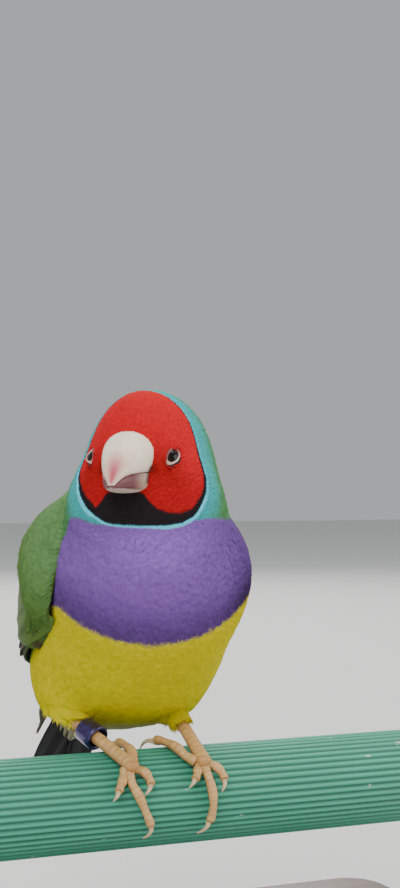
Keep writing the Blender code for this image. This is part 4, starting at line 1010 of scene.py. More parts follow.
class Vanes:
    """Closed thin vanes gathered for one joined mesh, with their colours and maps."""

    def __init__(self):
        self.points, self.faces, self.colours, self.barbs, self.count = [], [], [], [], 0

    def add(self, under, over, colours):
        """One vane between two grids of points, rows from root to tip and columns across."""
        rows, columns = under.shape[:2]
        size = rows * columns
        grid = np.arange(size).reshape(rows, columns)
        cells = np.stack([grid[:-1, :-1], grid[:-1, 1:], grid[1:, 1:], grid[1:, :-1]], axis=-1).reshape(-1, 4)
        rim = np.concatenate([grid[0], grid[1:, -1], grid[-1, -2::-1], grid[-2:0:-1, 0]])
        after = np.roll(rim, -1)
        walls = np.stack([rim, rim + size, after + size, after], axis=-1)
        faces = np.concatenate([cells, cells[:, ::-1] + size, walls])
        across, along = np.meshgrid(np.linspace(0.0, 1.0, columns), np.linspace(0.0, 1.0, rows))
        barbs = np.stack([across - 0.35 * np.abs(across - 0.5), along], axis=-1).reshape(-1, 2)
        self.points += [under.reshape(-1, 3), over.reshape(-1, 3)]
        self.faces.append(faces + self.count)
        self.colours += [colours.reshape(-1, 3) * 0.6, colours.reshape(-1, 3)]
        self.barbs += [barbs + len(self.points), barbs + len(self.points)]
        self.count += 2 * size

    def show(self, name, finish, slot, stands_for):
        """The joined vanes as one piece."""
        points = np.vstack(self.points)
        low, high = points.min(axis=0), points.max(axis=0)
        shares = (points - low) / (high - low)
        halves = np.concatenate([np.full(len(grid), number % 2) for number, grid in enumerate(self.points)])
        unwrap = np.stack([0.02 + 0.46 * shares[:, 1] + 0.5 * halves, 0.02 + 0.96 * shares[:, 0]], axis=-1)
        show(
            name, points, np.concatenate(self.faces), finish, stands_for, np.vstack(self.colours),
            {"Barbs": np.vstack(self.barbs), "OFBake": unwrap},
        )


def vane_outline(share, blunt):
    """A vane's half width along it, as a share of its widest."""
    root = 0.62 + 0.38 * between(share, 0.0, 0.3)
    start = 0.40 + 0.38 * blunt
    into_tip = np.clip((share - start) / (1.003 - start), 0.0, 1.0)
    tip = np.sqrt(np.clip(1.0 - into_tip ** (1.6 + 1.2 * blunt), 0.0, 1.0))
    return root * np.maximum(tip, 0.03)


def vane_thickness(share, lanes):
    """A vane's thickness, least at its edges and its tip."""
    return VANE_THICK * (1.0 - 0.6 * lanes**2) * np.interp(share, (0.0, 0.8, 1.0), (1.0, 1.0, 0.4))[:, None]


def raised_shaft(lanes):
    """How far the shaft stands out of the middle of a vane."""
    return 0.05 * np.exp(-((lanes / 0.12) ** 2))


def two_toned(share, lanes, inner, outer, edge_from, shaft):
    """A vane's colours: its lower web, its paler outer edge and its dark shaft."""
    web = between(lanes, -0.15, 0.25)[:, None]
    rim = between(np.abs(lanes), edge_from, 1.0)[:, None]
    dark = np.exp(-((lanes / 0.1) ** 2))[:, None] * shaft
    across = (np.array(inner) * web + np.array(outer) * (1.0 - web)) * (1.0 + 0.25 * rim) * (1.0 - dark)
    return np.tile(across, (len(share), 1, 1))


def wing_vane(
    vanes, side, root, tip, offset, half_width, level, blunt, tones, rows, columns=9, over_pad=None,
):
    """One feather of the wing, placed from the wing's lower edge, with a raised shaft."""
    share = np.linspace(0.0, 1.0, rows) ** 0.9
    along = root + (tip - root) * share
    lower, upper = wing_edges(along)
    middle = wing_point(along, (lower + upper) / 2.0, WING_CLEAR, side)
    girth = np.linalg.norm(middle - wing_axis(along, side), axis=-1)
    lanes = np.linspace(-1.0, 1.0, columns)
    half = half_width * vane_outline(share, blunt)
    place = lower + np.degrees((offset + half_width) / girth)
    angles = place[:, None] + np.degrees(half / girth)[:, None] * lanes
    grid = np.broadcast_to(along[:, None], angles.shape)
    if over_pad is None:
        angles = np.minimum(angles, upper[:, None] - 2.5 * (1.0 - lanes))
        sink = 0.55 * np.clip(1.0 - share / 0.45, 0.0, 1.0) ** 2
        fuller = wing_crown(grid, angles, side) - wing_crown(grid, angles, 1)
        top = level + 0.42 - sink[:, None] - 0.11 * (lanes + 1.0) + fuller
        top = np.maximum(top, WING_CLEAR + 0.35)
    else:
        top = pad_height(grid, angles, side) + over_pad * (0.15 + 0.85 * share[:, None]) - 0.06 * lanes**2
    top = top + raised_shaft(lanes)
    under = wing_point(grid, angles, top - vane_thickness(share, lanes), side)
    vanes.add(under, wing_point(grid, angles, top, side), two_toned(share, lanes, *tones))


def varied(colour, draw_one, spread=0.08):
    """The colour, a little lighter or darker."""
    return np.array(colour) * (1.0 + draw_one.uniform(-spread, spread))


def shoulder_coat(side, name):
    """The soft small coverts of the wing's shoulder: frayed plumes that lie towards the wing's tip."""
    along = draw.uniform(SHOULDER_START, SHOULDER_END, SHOULDER_TRIES)
    lower, upper = shoulder_edge(along), wing_edges(along)[1]
    angle = lower + (upper - lower) * draw.random(SHOULDER_TRIES)
    starts = wing_point(along, angle, pad_height(along, angle, side), side)
    kept = thinned(starts, np.full(SHOULDER_TRIES, SHOULDER_SPACING))
    along, angle, starts = along[kept], angle[kept], starts[kept]
    count = len(kept)
    ahead = wing_point(along + 0.4, angle, pad_height(along + 0.4, angle, side), side)
    beside = wing_point(along, angle + 1.5, pad_height(along, angle + 1.5, side), side)
    way = unit(ahead - starts)
    up = unit(np.cross(way, beside - starts)) * side
    way = unit(way + np.cross(up, way) * draw.normal(0.0, LIE_VARIES, (count, 1)))
    sideways, up, way = np.cross(up, way)[:, None], up[:, None], way[:, None]
    length = ((1.9 + 0.09 * along) * draw.uniform(*LENGTH_VARIES, count))[:, None, None]
    half = 0.24 * length + 0.06
    share, across = frayed(count, (-0.10, 0.05), 0.04)
    rise = SHOULDER_LIFT * lifted(share) - (length * share) ** 2 / 26.0 - 0.10
    rise = rise + draw.normal(0.0, 0.03, (count, 1, 1)) * share - VANE_CUP * half * across**2
    points = starts[:, None] + way * length * share + sideways * half * across + up * rise
    normals = unit(up + sideways * across * VANE_ROUND - way * VANE_LEAN)
    lower, upper = wing_edges(along)
    low_edge = (1.0 - between(angle - lower, 0.3, 2.0)) * between(along, 7.0, 9.5)
    colours = paint(np.full((count, 3), SHOULDER_GREEN), WING_GREEN, 0.78 * between(along, -1.0, 8.0))
    colours = paint(colours, PRIMARY_BROWN, 0.85 * low_edge)
    tone = draw.normal(1.0, 0.07, (count, 1, 1)) * (0.84 + 0.26 * VANE_ALONG[:, None])
    unwrap = 0.02 + 0.96 * np.stack([
        (along - SHOULDER_START) / (SHOULDER_END - SHOULDER_START), (angle - lower) / (upper - lower),
    ], axis=-1)
    show_plumes(name, points, colours[:, None] * tone, normals, unwrap)


stiff_plumes = plume_finish("stiff wing feather", 0.55, 34.0, 0.00006, 0.1)
for side, wing_name in ((1, "wing_left"), (-1, "wing_right")):
    draw_one = random.Random(11)
    vanes = Vanes()
    pad_along = np.linspace(-2.9, WING_CORE_END, 44)
    lower, upper = shoulder_edge(pad_along), wing_edges(pad_along)[1]
    pad_angles = lower[:, None] + (upper - lower)[:, None] * np.linspace(0.0, 1.0, 22)
    pad_grid = np.broadcast_to(pad_along[:, None], pad_angles.shape)
    pad_top = pad_height(pad_grid, pad_angles, side) - 0.1
    pad_colours = np.broadcast_to(np.array(WING_GREEN) * 0.7, (*pad_angles.shape, 3))
    vanes.add(
        wing_point(pad_grid, pad_angles, np.minimum(WING_CLEAR, pad_top - 0.1), side),
        wing_point(pad_grid, pad_angles, pad_top, side), pad_colours,
    )
    for number, tip in enumerate(PRIMARY_TIPS):
        offset = 0.05 + PRIMARY_STRIP * number + draw_one.uniform(-0.1, 0.1)
        tones = (varied(PRIMARY_BROWN, draw_one), varied(PRIMARY_EDGE, draw_one), 0.75, 0.5)
        reach_of_tip = tip + draw_one.uniform(-0.3, 0.3)
        level = PRIMARY_LEVEL + PRIMARY_LAYER * number
        wing_vane(
            vanes, side, PRIMARY_ROOT, reach_of_tip, offset, PRIMARY_HALF_WIDTH, level, 0.15, tones, 26,
        )
    secondaries = zip(SECONDARY_TIPS, SECONDARY_OFFSETS, SECONDARY_HALF_WIDTHS)
    for number, (tip, offset, half_width) in enumerate(secondaries):
        offset += draw_one.uniform(-0.12, 0.12)
        inner = PRIMARY_BROWN if number < BROWN_SECONDARIES else WING_GREEN
        tones = (varied(inner, draw_one), varied(WING_GREEN, draw_one), 0.8, 0.45)
        level = SECONDARY_LEVEL + SECONDARY_LAYER * number
        wing_vane(vanes, side, SECONDARY_ROOT, tip, offset, half_width, level, 0.8, tones, 22)
    for number in range(LOW_COVERTS):
        tones = (varied(WING_OLIVE, draw_one), varied(PRIMARY_BROWN, draw_one), 0.7, 0.4)
        tip, offset, level = LOW_COVERT_TIP - 1.5 * number, 0.1 + 0.8 * number, 0.95 + 0.15 * number
        wing_vane(
            vanes, side, LOW_COVERT_ROOT, tip, offset, LOW_COVERT_HALF_WIDTH, level, 0.5, tones, 14, 7,
        )
    for number in range(COVERTS):
        tones = (varied(WING_GREEN, draw_one), varied(WING_GREEN_EDGE, draw_one), 0.7, 0.35)
        tip = COVERT_TIP - 0.28 * number + draw_one.uniform(-0.3, 0.3)
        offset, over_pad = -0.3 + COVERT_STRIP * number, 0.55 + 0.03 * number
        wing_vane(
            vanes, side, COVERT_ROOT, tip, offset, COVERT_HALF_WIDTH, 0.0, 0.9, tones, 14, 7, over_pad,
        )
    vanes.show(f"{wing_name}_feathers", stiff_plumes, "wing_feathers", (wing_name,))
    shoulder_coat(side, f"{wing_name}_shoulder")

# The tail. Twelve flat black feathers, the middle pair drawn out into fine points and lying on
# top, with blue coverts over their roots and pale ones under them.
TAIL_LENGTHS = (50.0, 37.5, 35.2, 32.6, 29.8, 26.8)
TAIL_SPREAD = (0.55, 1.35, 2.05, 2.7, 3.3, 3.85)
TAIL_LAYER = 0.34
TAIL_HALF_WIDTH = 2.3
TAIL_COVERT_TIPS = (14.5, 10.5, 6.5, 3.0)
TAIL_COVERTS_A_ROW = 7
TAIL_COVERT_SPACING = 0.72
TAIL_COVERT_LAYER = 0.28
TAIL_COVERT_ROOF = 0.3
OVER_COVERT_RISE = 1.25
UNDER_COVERT_RISE = -1.6
TAIL_BLACK = (0.016, 0.016, 0.020)
TAIL_BLACK_EDGE = (0.040, 0.042, 0.048)


def tail_place(along, across, rise):
    """A place on the tail: along it from its root, across it to the left, and above its middle."""
    along, across, rise = np.broadcast_arrays(along, across, rise)
    sideways = across[..., None] * np.array([1.0, 0.0, 0.0])
    return TAIL_ROOT + along[..., None] * TAIL_WAY + sideways + rise[..., None] * TAIL_UP


def tail_vane(vanes, root, tip, start_x, end_x, half_width, rise, fine, tones, droop=0.0, rows=24, columns=9):
    """One flat feather of the tail, roofed a little along its shaft."""
    share = np.linspace(0.0, 1.0, rows) ** 0.9
    lanes = np.linspace(-1.0, 1.0, columns)
    taper = vane_outline(share, 0.75 - 0.6 * fine) * (1.0 - 0.42 * fine * between(share, 0.45, 0.85))
    across = (start_x + (end_x - start_x) * share)[:, None] + half_width * taper[:, None] * lanes
    top = rise + 0.12 + droop * share[:, None] - 0.28 * np.abs(lanes) + raised_shaft(lanes)
    grid = np.broadcast_to((root + (tip - root) * share)[:, None], across.shape)
    under = tail_place(grid, across, top - vane_thickness(share, lanes))
    vanes.add(under, tail_place(grid, across, top), two_toned(share, lanes, *tones))


vanes = Vanes()
draw_one = random.Random(23)
for number, (length, spread) in enumerate(zip(TAIL_LENGTHS, TAIL_SPREAD)):
    for side in (1, -1):
        tip = length + draw_one.uniform(-0.5, 0.5)
        rise = 0.75 - TAIL_LAYER * number - (0.11 if side < 0 else 0.0)
        tones = (varied(TAIL_BLACK, draw_one), varied(TAIL_BLACK_EDGE, draw_one), 0.8, 0.3)
        fine = 1.0 if number == 0 else 0.35
        tail_vane(vanes, 0.5, tip, side * spread * 0.5, side * spread, TAIL_HALF_WIDTH, rise, fine, tones)
for row, row_tip in enumerate(TAIL_COVERT_TIPS):
    for number in range(TAIL_COVERTS_A_ROW):
        lane = (number - 3.0 + 0.5 * (row % 2)) * TAIL_COVERT_SPACING
        start_x = 1.3 * lane
        jitter = draw_one.uniform(-0.4, 0.4)
        over = (varied(RUMP_BLUE, draw_one), varied(RUMP_BLUE, draw_one), 0.6, 0.2)
        under = (varied(VENT_WHITE, draw_one), varied(VENT_WHITE, draw_one), 0.6, 0.1)
        over_rise = OVER_COVERT_RISE + TAIL_COVERT_LAYER * row - TAIL_COVERT_ROOF * abs(lane)
        under_rise = UNDER_COVERT_RISE - TAIL_COVERT_LAYER * row + TAIL_COVERT_ROOF * abs(lane)
        tip = row_tip - 1.1 * abs(lane) + jitter
        tail_vane(vanes, row_tip - 10.0, tip, start_x, 1.25 * lane, 1.7, over_rise, 0.1, over, -0.35, 12, 7)
        tip = row_tip + 1.5 - 1.3 * abs(lane) + jitter
        tail_vane(vanes, row_tip - 9.0, tip, start_x, 1.2 * lane, 1.3, under_rise, 0.4, under, 0.2, 12, 7)
vanes.show("tail_feathers", stiff_plumes, "tail_feathers", ("tail",))

# The bill. Two thick cones of horn that meet along a curved edge, ivory with a pink flush towards
# the tip. Fine lines of growth run along it, and the feathers of the face lie over its base.
BILL_TIP_Y = -16.9
BILL_BASE_Y = -8.6
BILL_TIP_Z = -2.3
BILL_TOP_RISE = 7.0
BILL_TOP_POWER = 0.61
BILL_HALF_WIDTH = 4.0
BILL_WIDTH_POWER = 0.63
BILL_NARROWING = 0.13
BILL_LOWER_WIDTH = 0.86
BILL_DROP = 1.35
GAPE_Z = -0.57
MOUTH_POWER = 6.0
MOUTH_GAP = 0.12
BILL_IVORY = (0.950, 0.820, 0.620)
BILL_PINK = (0.560, 0.070, 0.115)
BILL_MAROON_AND_SHADE = (0.150, 0.028, 0.040)
LOWER_BILL_SHADE = (0.520, 0.400, 0.290)
BILL_PALE_EDGE = (0.800, 0.640, 0.560)
GAPE_BROWN = (0.050, 0.022, 0.014)
BILL_NOSE = 0.03
BILL_BEHIND = 1.75
BILL_SUNK = 0.25
ROUND_UPPER = 0.85
ROUND_LOWER = 0.32
ROUND_SIDES = 45
FLAT_SIDES = 15
NOSTRIL_SIDES = (0.30, 0.70)
NOSTRIL_FROM_BASE = -0.035
NOSTRIL_SPREAD = (0.025, 0.02)
NOSTRIL_DEPTH = 0.25
BILL_STEPS = 34
BILL_POINT = 0.12
SHEATH_BACK = 1.6
SHEATH_SHARE = 0.8
GROWTH_STRETCH = (900.0, 260.0, 900.0)
GROWTH_DEPTH = 0.00004
GROWTH_DARK = (0.88, 0.86, 0.84)
CLEAN = (1.0, 1.0, 1.0)


def bill_place(along, around, across, upper):
    """A place on a mandible: along it from the tip, and round its outside, or across its flat side."""
    half_width = BILL_HALF_WIDTH * along**BILL_WIDTH_POWER
    top = BILL_TIP_Z + BILL_TOP_RISE * along**BILL_TOP_POWER
    mouth = GAPE_Z - (GAPE_Z - BILL_TIP_Z) * np.clip(1.0 - along, 0.0, 1.0) ** MOUTH_POWER
    bottom = BILL_TIP_Z - BILL_DROP * along
    sine, cosine = np.sin(math.pi * around), np.cos(math.pi * around)
    if upper:
        edge = mouth + MOUTH_GAP / 2.0
        rise = (top - edge) * sine**ROUND_UPPER
        out = half_width * cosine * (1.0 - BILL_NARROWING * (1.0 - sine) ** 2)
    else:
        edge = mouth - MOUTH_GAP / 2.0
        rise = (bottom - edge) * sine**ROUND_LOWER
        out = BILL_LOWER_WIDTH * half_width * cosine
    narrow = 1.0 - BILL_NARROWING if upper else BILL_LOWER_WIDTH
    flat = np.isfinite(across)
    out = np.where(flat, narrow * half_width * np.nan_to_num(across), out)
    rise = np.where(flat, 0.0, rise)
    y = BILL_TIP_Y + (BILL_BASE_Y - BILL_TIP_Y) * along
    return in_head(np.stack([out, y, edge + rise], axis=-1))


def mandible(upper):
    """Half of the bill: rings from the face to the tip, and each point's place along and around."""
    around = np.concatenate([np.linspace(0.0, 1.0, ROUND_SIDES), np.zeros(FLAT_SIDES - 2)])
    across = np.concatenate([np.full(ROUND_SIDES, np.nan), np.linspace(-1.0, 1.0, FLAT_SIDES)[1:-1]])
    low, high = np.full(len(around), BILL_NOSE), np.full(len(around), BILL_BEHIND)
    for _ in range(24):
        middle = (low + high) / 2.0
        outside = height(bill_place(middle, around, across, upper)) > -BILL_SUNK
        low, high = np.where(outside, middle, low), np.where(outside, high, middle)
    share = np.linspace(0.0, 1.0, BILL_STEPS)[:, None] ** 0.8
    along, around, across = np.broadcast_arrays(low + (BILL_NOSE - low) * share, around, across)
    return bill_place(along, around, across, upper), along, around, low


horn, shader = finish_of(
    "bill horn", 0.40, Subsurface_Weight=0.06, Subsurface_Scale=0.0005, Coat_Weight=0.10, Coat_Roughness=0.35,
)
growth = noise_in(horn, GROWTH_STRETCH, 5.0)
toned_colours(horn, shader, ramp_in(horn, growth, (0.30, GROWTH_DARK), (0.70, CLEAN)))
bump_in(horn, shader, growth, GROWTH_DEPTH, 0.35)
for bill_name, upper in (("bill_upper", True), ("bill_lower", False)):
    points, along, around, base_along = mandible(upper)
    behind = points[0] + HEAD_FRAME @ np.array([0.0, SHEATH_BACK, 0.0])
    behind = behind.mean(axis=0) + SHEATH_SHARE * (behind - behind.mean(axis=0))
    from_edge = np.minimum(around, 1.0 - around)
    tip_side = np.clip(along, 0.0, 1.0)
    gape = between(tip_side, base_along - 0.16, base_along - 0.05) * (1.0 - between(from_edge, 0.02, 0.07))
    if upper:
        pink = np.exp(-(((around - 0.47) / 0.26) ** 2)) * (1.0 - between(tip_side, 0.14, 0.72))
        pink = np.maximum(pink, 0.35 * (1.0 - between(tip_side, 0.05, 0.45)))
        colours = paint(np.full((*along.shape, 3), BILL_IVORY), BILL_PINK, pink)
        colours = paint(colours, BILL_PALE_EDGE, (1.0 - between(from_edge, 0.015, 0.05)) * 0.8)
        for nostril_side in NOSTRIL_SIDES:
            from_base = tip_side - base_along
            pit = patch_at(from_base, around, (NOSTRIL_FROM_BASE, nostril_side), NOSTRIL_SPREAD)
            inwards = -unit(points - points.mean(axis=1, keepdims=True))
            points = points + inwards * NOSTRIL_DEPTH * pit[..., None]
            colours = paint(colours, BILL_PINK, 0.8 * pit)
    else:
        # The lower mandible is painted darker than the upper: grey-brown towards its base and maroon towards
        # its tip, its own reddish tint with painted shade under the upper mandible.
        maroon_and_shade = 1.0 - between(tip_side, 0.40, 0.92)
        colours = paint(np.full((*along.shape, 3), LOWER_BILL_SHADE), BILL_MAROON_AND_SHADE, maroon_and_shade)
        colours = paint(colours, BILL_PALE_EDGE, between(from_edge, 0.17, 0.25) * 0.85)
    colours = paint(colours, GAPE_BROWN, gape)
    rings = np.concatenate([behind[None], points])
    tip_place = rings[-1].mean(axis=0) + HEAD_FRAME @ np.array([0.0, -BILL_POINT, 0.0])
    bill_points, bill_faces = closed_form(rings, None, tip_place)
    bill_colours = np.concatenate([
        colours[0], colours.reshape(-1, 3), colours[0].mean(axis=0)[None], colours[-1].mean(axis=0)[None],
    ])
    show(bill_name + "_horn", bill_points, bill_faces, horn, (bill_name,), bill_colours)

# The eyes. Glass balls with a black pupil in a dark brown iris, wet and clear in front. Each sits
# deep in its socket, behind a raised ring of bare pale skin that narrows to the rear.
PUPIL_RADIUS = 0.85
IRIS_RADIUS = 1.7
IRIS_BROWN = (0.020, 0.007, 0.004)
PUPIL_BLACK = (0.003, 0.002, 0.002)
LID_PALE = (0.700, 0.500, 0.420)
LID_PALE_SIDE = np.array([-0.55, -0.84])
LID_SHADE = (0.150, 0.020, 0.018)
# The lids' section, as places out from the opening's edge and above the eyeball
LID_PROFILE = (
    (-0.08, -0.10), (-0.05, 0.03), (0.0, 0.13), (0.07, 0.19), (0.15, 0.20), (0.24, 0.14), (0.34, -0.02),
    (0.5, -0.4),
)
LID_FOLDS = 18.0
LID_RIPPLE = 0.16
LID_GRAIN = 6500.0
LID_GRAIN_DEPTH = 0.00005
PUPIL_EDGE = 0.08
IRIS_EDGE = 0.25
EYE_RINGS = 44
EYE_SIDES = 56
LID_SIDES = 72
wet_eye, shader = finish_of("wet eye", 0.10, Coat_Weight=0.12, Coat_Roughness=0.03, Specular_IOR_Level=0.2)
link_in(wet_eye, own_colours(wet_eye), shader.inputs["Base Color"])
lid_skin, shader = finish_of("bare lid skin", 0.5, Subsurface_Weight=0.1, Subsurface_Scale=0.0005)
link_in(lid_skin, own_colours(lid_skin), shader.inputs["Base Color"])
lid_grain = node_in(lid_skin, "ShaderNodeTexVoronoi", {"Vector": place_in(lid_skin), "Scale": LID_GRAIN})
bump_in(lid_skin, shader, lid_grain.outputs["Distance"], LID_GRAIN_DEPTH, 0.5)
for side, eye_name in ((1, "eye_left"), (-1, "eye_right")):
    centre, outward = eye_place(side)
    front, rise_way = eye_ways(outward)
    polar = np.linspace(0.02, math.pi - 0.02, EYE_RINGS)[:, None, None]
    spin = full_turn(EYE_SIDES)[:, None]
    round_axis = np.cos(spin) * front + np.sin(spin) * rise_way
    rings = centre + EYE_RADIUS * (np.cos(polar) * outward + np.sin(polar) * round_axis)
    ball_points, ball_faces = closed_form(rings, centre + outward * EYE_RADIUS, centre - outward * EYE_RADIUS)
    from_middle = np.linalg.norm(np.cross(ball_points - centre, outward), axis=1)
    ball_colours = np.full((len(ball_points), 3), IRIS_BROWN)
    ball_colours = paint(ball_colours, PUPIL_BLACK, past_edge(PUPIL_RADIUS - from_middle, PUPIL_EDGE))
    at_rim = between(from_middle, IRIS_RADIUS - IRIS_EDGE, IRIS_RADIUS)
    ball_colours = paint(ball_colours, PUPIL_BLACK, at_rim)
    show(f"{eye_name}_glass", ball_points, ball_faces, wet_eye, (eye_name,), ball_colours)
    spin = full_turn(LID_SIDES)
    opening = lid_opening(spin)
    outwards = unit(opening - np.array(LID_CENTRE))
    shown = 0.12 + 0.88 * between(outwards @ LID_PALE_SIDE, -0.35, 0.25)
    rings = []
    shades = []
    for out, above in LID_PROFILE:
        flat = opening + outwards * out
        deep = np.sqrt(np.maximum(EYE_RADIUS**2 - (flat**2).sum(axis=1), 1.3)) + above
        ripple = (1.0 + LID_RIPPLE * np.cos(LID_FOLDS * spin) * (above > 0.1)) ** 0.2
        rings.append(
            centre + flat[:, :1] * front + flat[:, 1:] * rise_way + (deep * ripple)[:, None] * outward
        )
        shades.append(between(np.full(LID_SIDES, out), -0.06, 0.08) * shown)
    lid_points = np.concatenate(rings)
    lid_faces = ring_faces(len(LID_PROFILE), LID_SIDES)
    lid_colours = paint(np.full((len(lid_points), 3), LID_SHADE), LID_PALE, np.concatenate(shades))
    show(f"{eye_name}_lids", lid_points, lid_faces, lid_skin, (), lid_colours)

# The legs and feet. Bare flesh-coloured skin: broad scales down the front of each leg, narrow ones
# over each toe with soft pads below, and thin curved claws.
TARSUS_RADIUS = 1.02
TOE_RADIUS = 0.70
CLAW_TIP_RADIUS = 0.07
CLAW_FROM = 0.66
GAP = 0.35
SCALE_FLESH = (0.580, 0.310, 0.105)
SCALE_PALE_AND_LIT = (0.760, 0.500, 0.200)
SCALE_SEAM = (0.330, 0.150, 0.065)
CLAW_PALE = (0.740, 0.560, 0.340)
SKIN_MOTTLE = (0.82, 0.74, 0.70)
CLAW_LINES = (0.84, 0.80, 0.74)
LEG_FRONT = np.array([0.0, -0.5, 0.85])
SHANK_FROM = -0.6
SHANK_TO = 17.0
SHANK_IN_COAT = 1.6
SHANK_SCALES_A_MM = 0.95
SKIN_CELLS = 3400.0
SKIN_CELL_DEPTH = 0.00006
CLAW_STRETCH = (2500.0, 500.0, 500.0)
MIDDLE_TOE_SCALES = 13
TOE_SCALES = 9
TOE_STEPS = 86
SCALE_LIFT = 0.035
TOE_TAPER = 0.25
TOE_PAD_SWELL = 0.10
HIND_TOE_STOUTER = 1.05
CLAW_ARCH = 0.45
CLAW_THICKNESS = 0.52
KNUCKLE_WIDE = 1.12
KNUCKLE_LONG = 0.95
TOES = {
    "right": {
        "middle": ((50, -6.6), (64, -6.3), (77, -5.5), (90, -4.7), (107, -3.7), (114, -3.7), (124, -4.4)),
        "inner": ((46, -6.0), (51, -4.4), (60, -3.6), (68, -3.7), (76, -4.6)),
        "outer": ((48, -7.0), (58, -7.6), (65, -8.1), (72, -8.6), (79, -9.3)),
        "hind": ((46, -5.8), (36, -5.2), (24, -5.0), (8, -5.1), (-8, -5.4), (-24, -5.8), (-38, -6.1)),
    },
    "left": {
        "middle": ((50, 5.0), (62, 5.4), (79, 5.7), (92, 5.8), (108, 5.4), (115, 4.9), (124, 3.9)),
        "inner": ((47, 4.6), (54, 4.0), (60, 3.7), (66, 3.1), (72, 2.3)),
        "outer": ((46, 5.4), (52, 6.8), (61, 7.7), (69, 7.8), (79, 7.3)),
        "hind": ((46, 4.0), (36, 2.8), (24, 2.1), (8, 1.3), (-8, 0.5), (-24, -0.2), (-38, -0.6)),
    },
}


def scaled_tube(path, radii, over, plates, sides=20):
    """A tube of skin with overlapping scales on the side that faces over, and its colours."""
    ways = unit(np.gradient(path, axis=0))
    over = unit(over - ways * (over * ways).sum(axis=1, keepdims=True))
    across = np.cross(ways, over)
    spin = full_turn(sides)
    plate = (np.linspace(0.0, 1.0, len(path)) * plates % 1.0)[:, None]
    facing = between(np.cos(spin), -0.1, 0.5)
    step = (0.55 * plate**0.6 - 0.25) * facing
    seam = (np.exp(-((plate / 0.10) ** 2)) + np.exp(-(((plate - 1.0) / 0.06) ** 2))) * facing
    size = radii[:, None] * (1.0 + SCALE_LIFT * step)
    round_path = np.cos(spin)[:, None] * over[:, None] + np.sin(spin)[:, None] * across[:, None]
    rings = path[:, None] + size[..., None] * round_path
    # The side that faces over, up and forward, is paler, more so further along each scale: the scales' own
    # paler tone with painted light from above.
    colours = paint(np.full((*size.shape, 3), SCALE_FLESH), SCALE_PALE_AND_LIT, facing * (0.35 + 0.65 * plate))
    colours = paint(colours, SCALE_SEAM, 0.32 * seam)
    return rings, colours


def perch_place(angle, x, radius):
    """Places round the perch: angles in degrees from its top, positive to the front."""
    angle = np.radians(angle)
    return np.stack([x, -radius * np.sin(angle), radius * np.cos(angle) - PERCH_RADIUS], axis=-1)


leg_skin, shader = finish_of("scaled leg skin", 0.42, Subsurface_Weight=0.15, Subsurface_Scale=0.0008)
leg_mottle = noise_in(leg_skin, (900.0, 900.0, 900.0), 4.0)
toned_colours(leg_skin, shader, ramp_in(leg_skin, leg_mottle, (0.32, SKIN_MOTTLE), (0.68, CLEAN)))
leg_cells = node_in(leg_skin, "ShaderNodeTexVoronoi", {"Vector": place_in(leg_skin), "Scale": SKIN_CELLS})
bump_in(leg_skin, shader, leg_cells.outputs["Distance"], SKIN_CELL_DEPTH, 0.45)
claw_horn, shader = finish_of(
    "claw horn", 0.3, Coat_Weight=0.2, Subsurface_Weight=0.15, Subsurface_Scale=0.0005,
)
claw_lines = noise_in(claw_horn, CLAW_STRETCH)
toned_colours(claw_horn, shader, ramp_in(claw_horn, claw_lines, (0.35, CLAW_LINES), (0.65, CLEAN)))


def joined(forms):
    """Several closed forms with their colours as one list of points, faces and colours."""
    points, faces, colours, start = [], [], [], 0
    for rings, shades in forms:
        form_points, form_faces = closed_form(rings)
        points.append(form_points)
        faces += [[corner + start for corner in face] for face in form_faces]
        colours += [shades.reshape(-1, 3), shades[0].mean(axis=0)[None], shades[-1].mean(axis=0)[None]]
        start += len(form_points)
    return np.vstack(points), faces, np.vstack(colours)


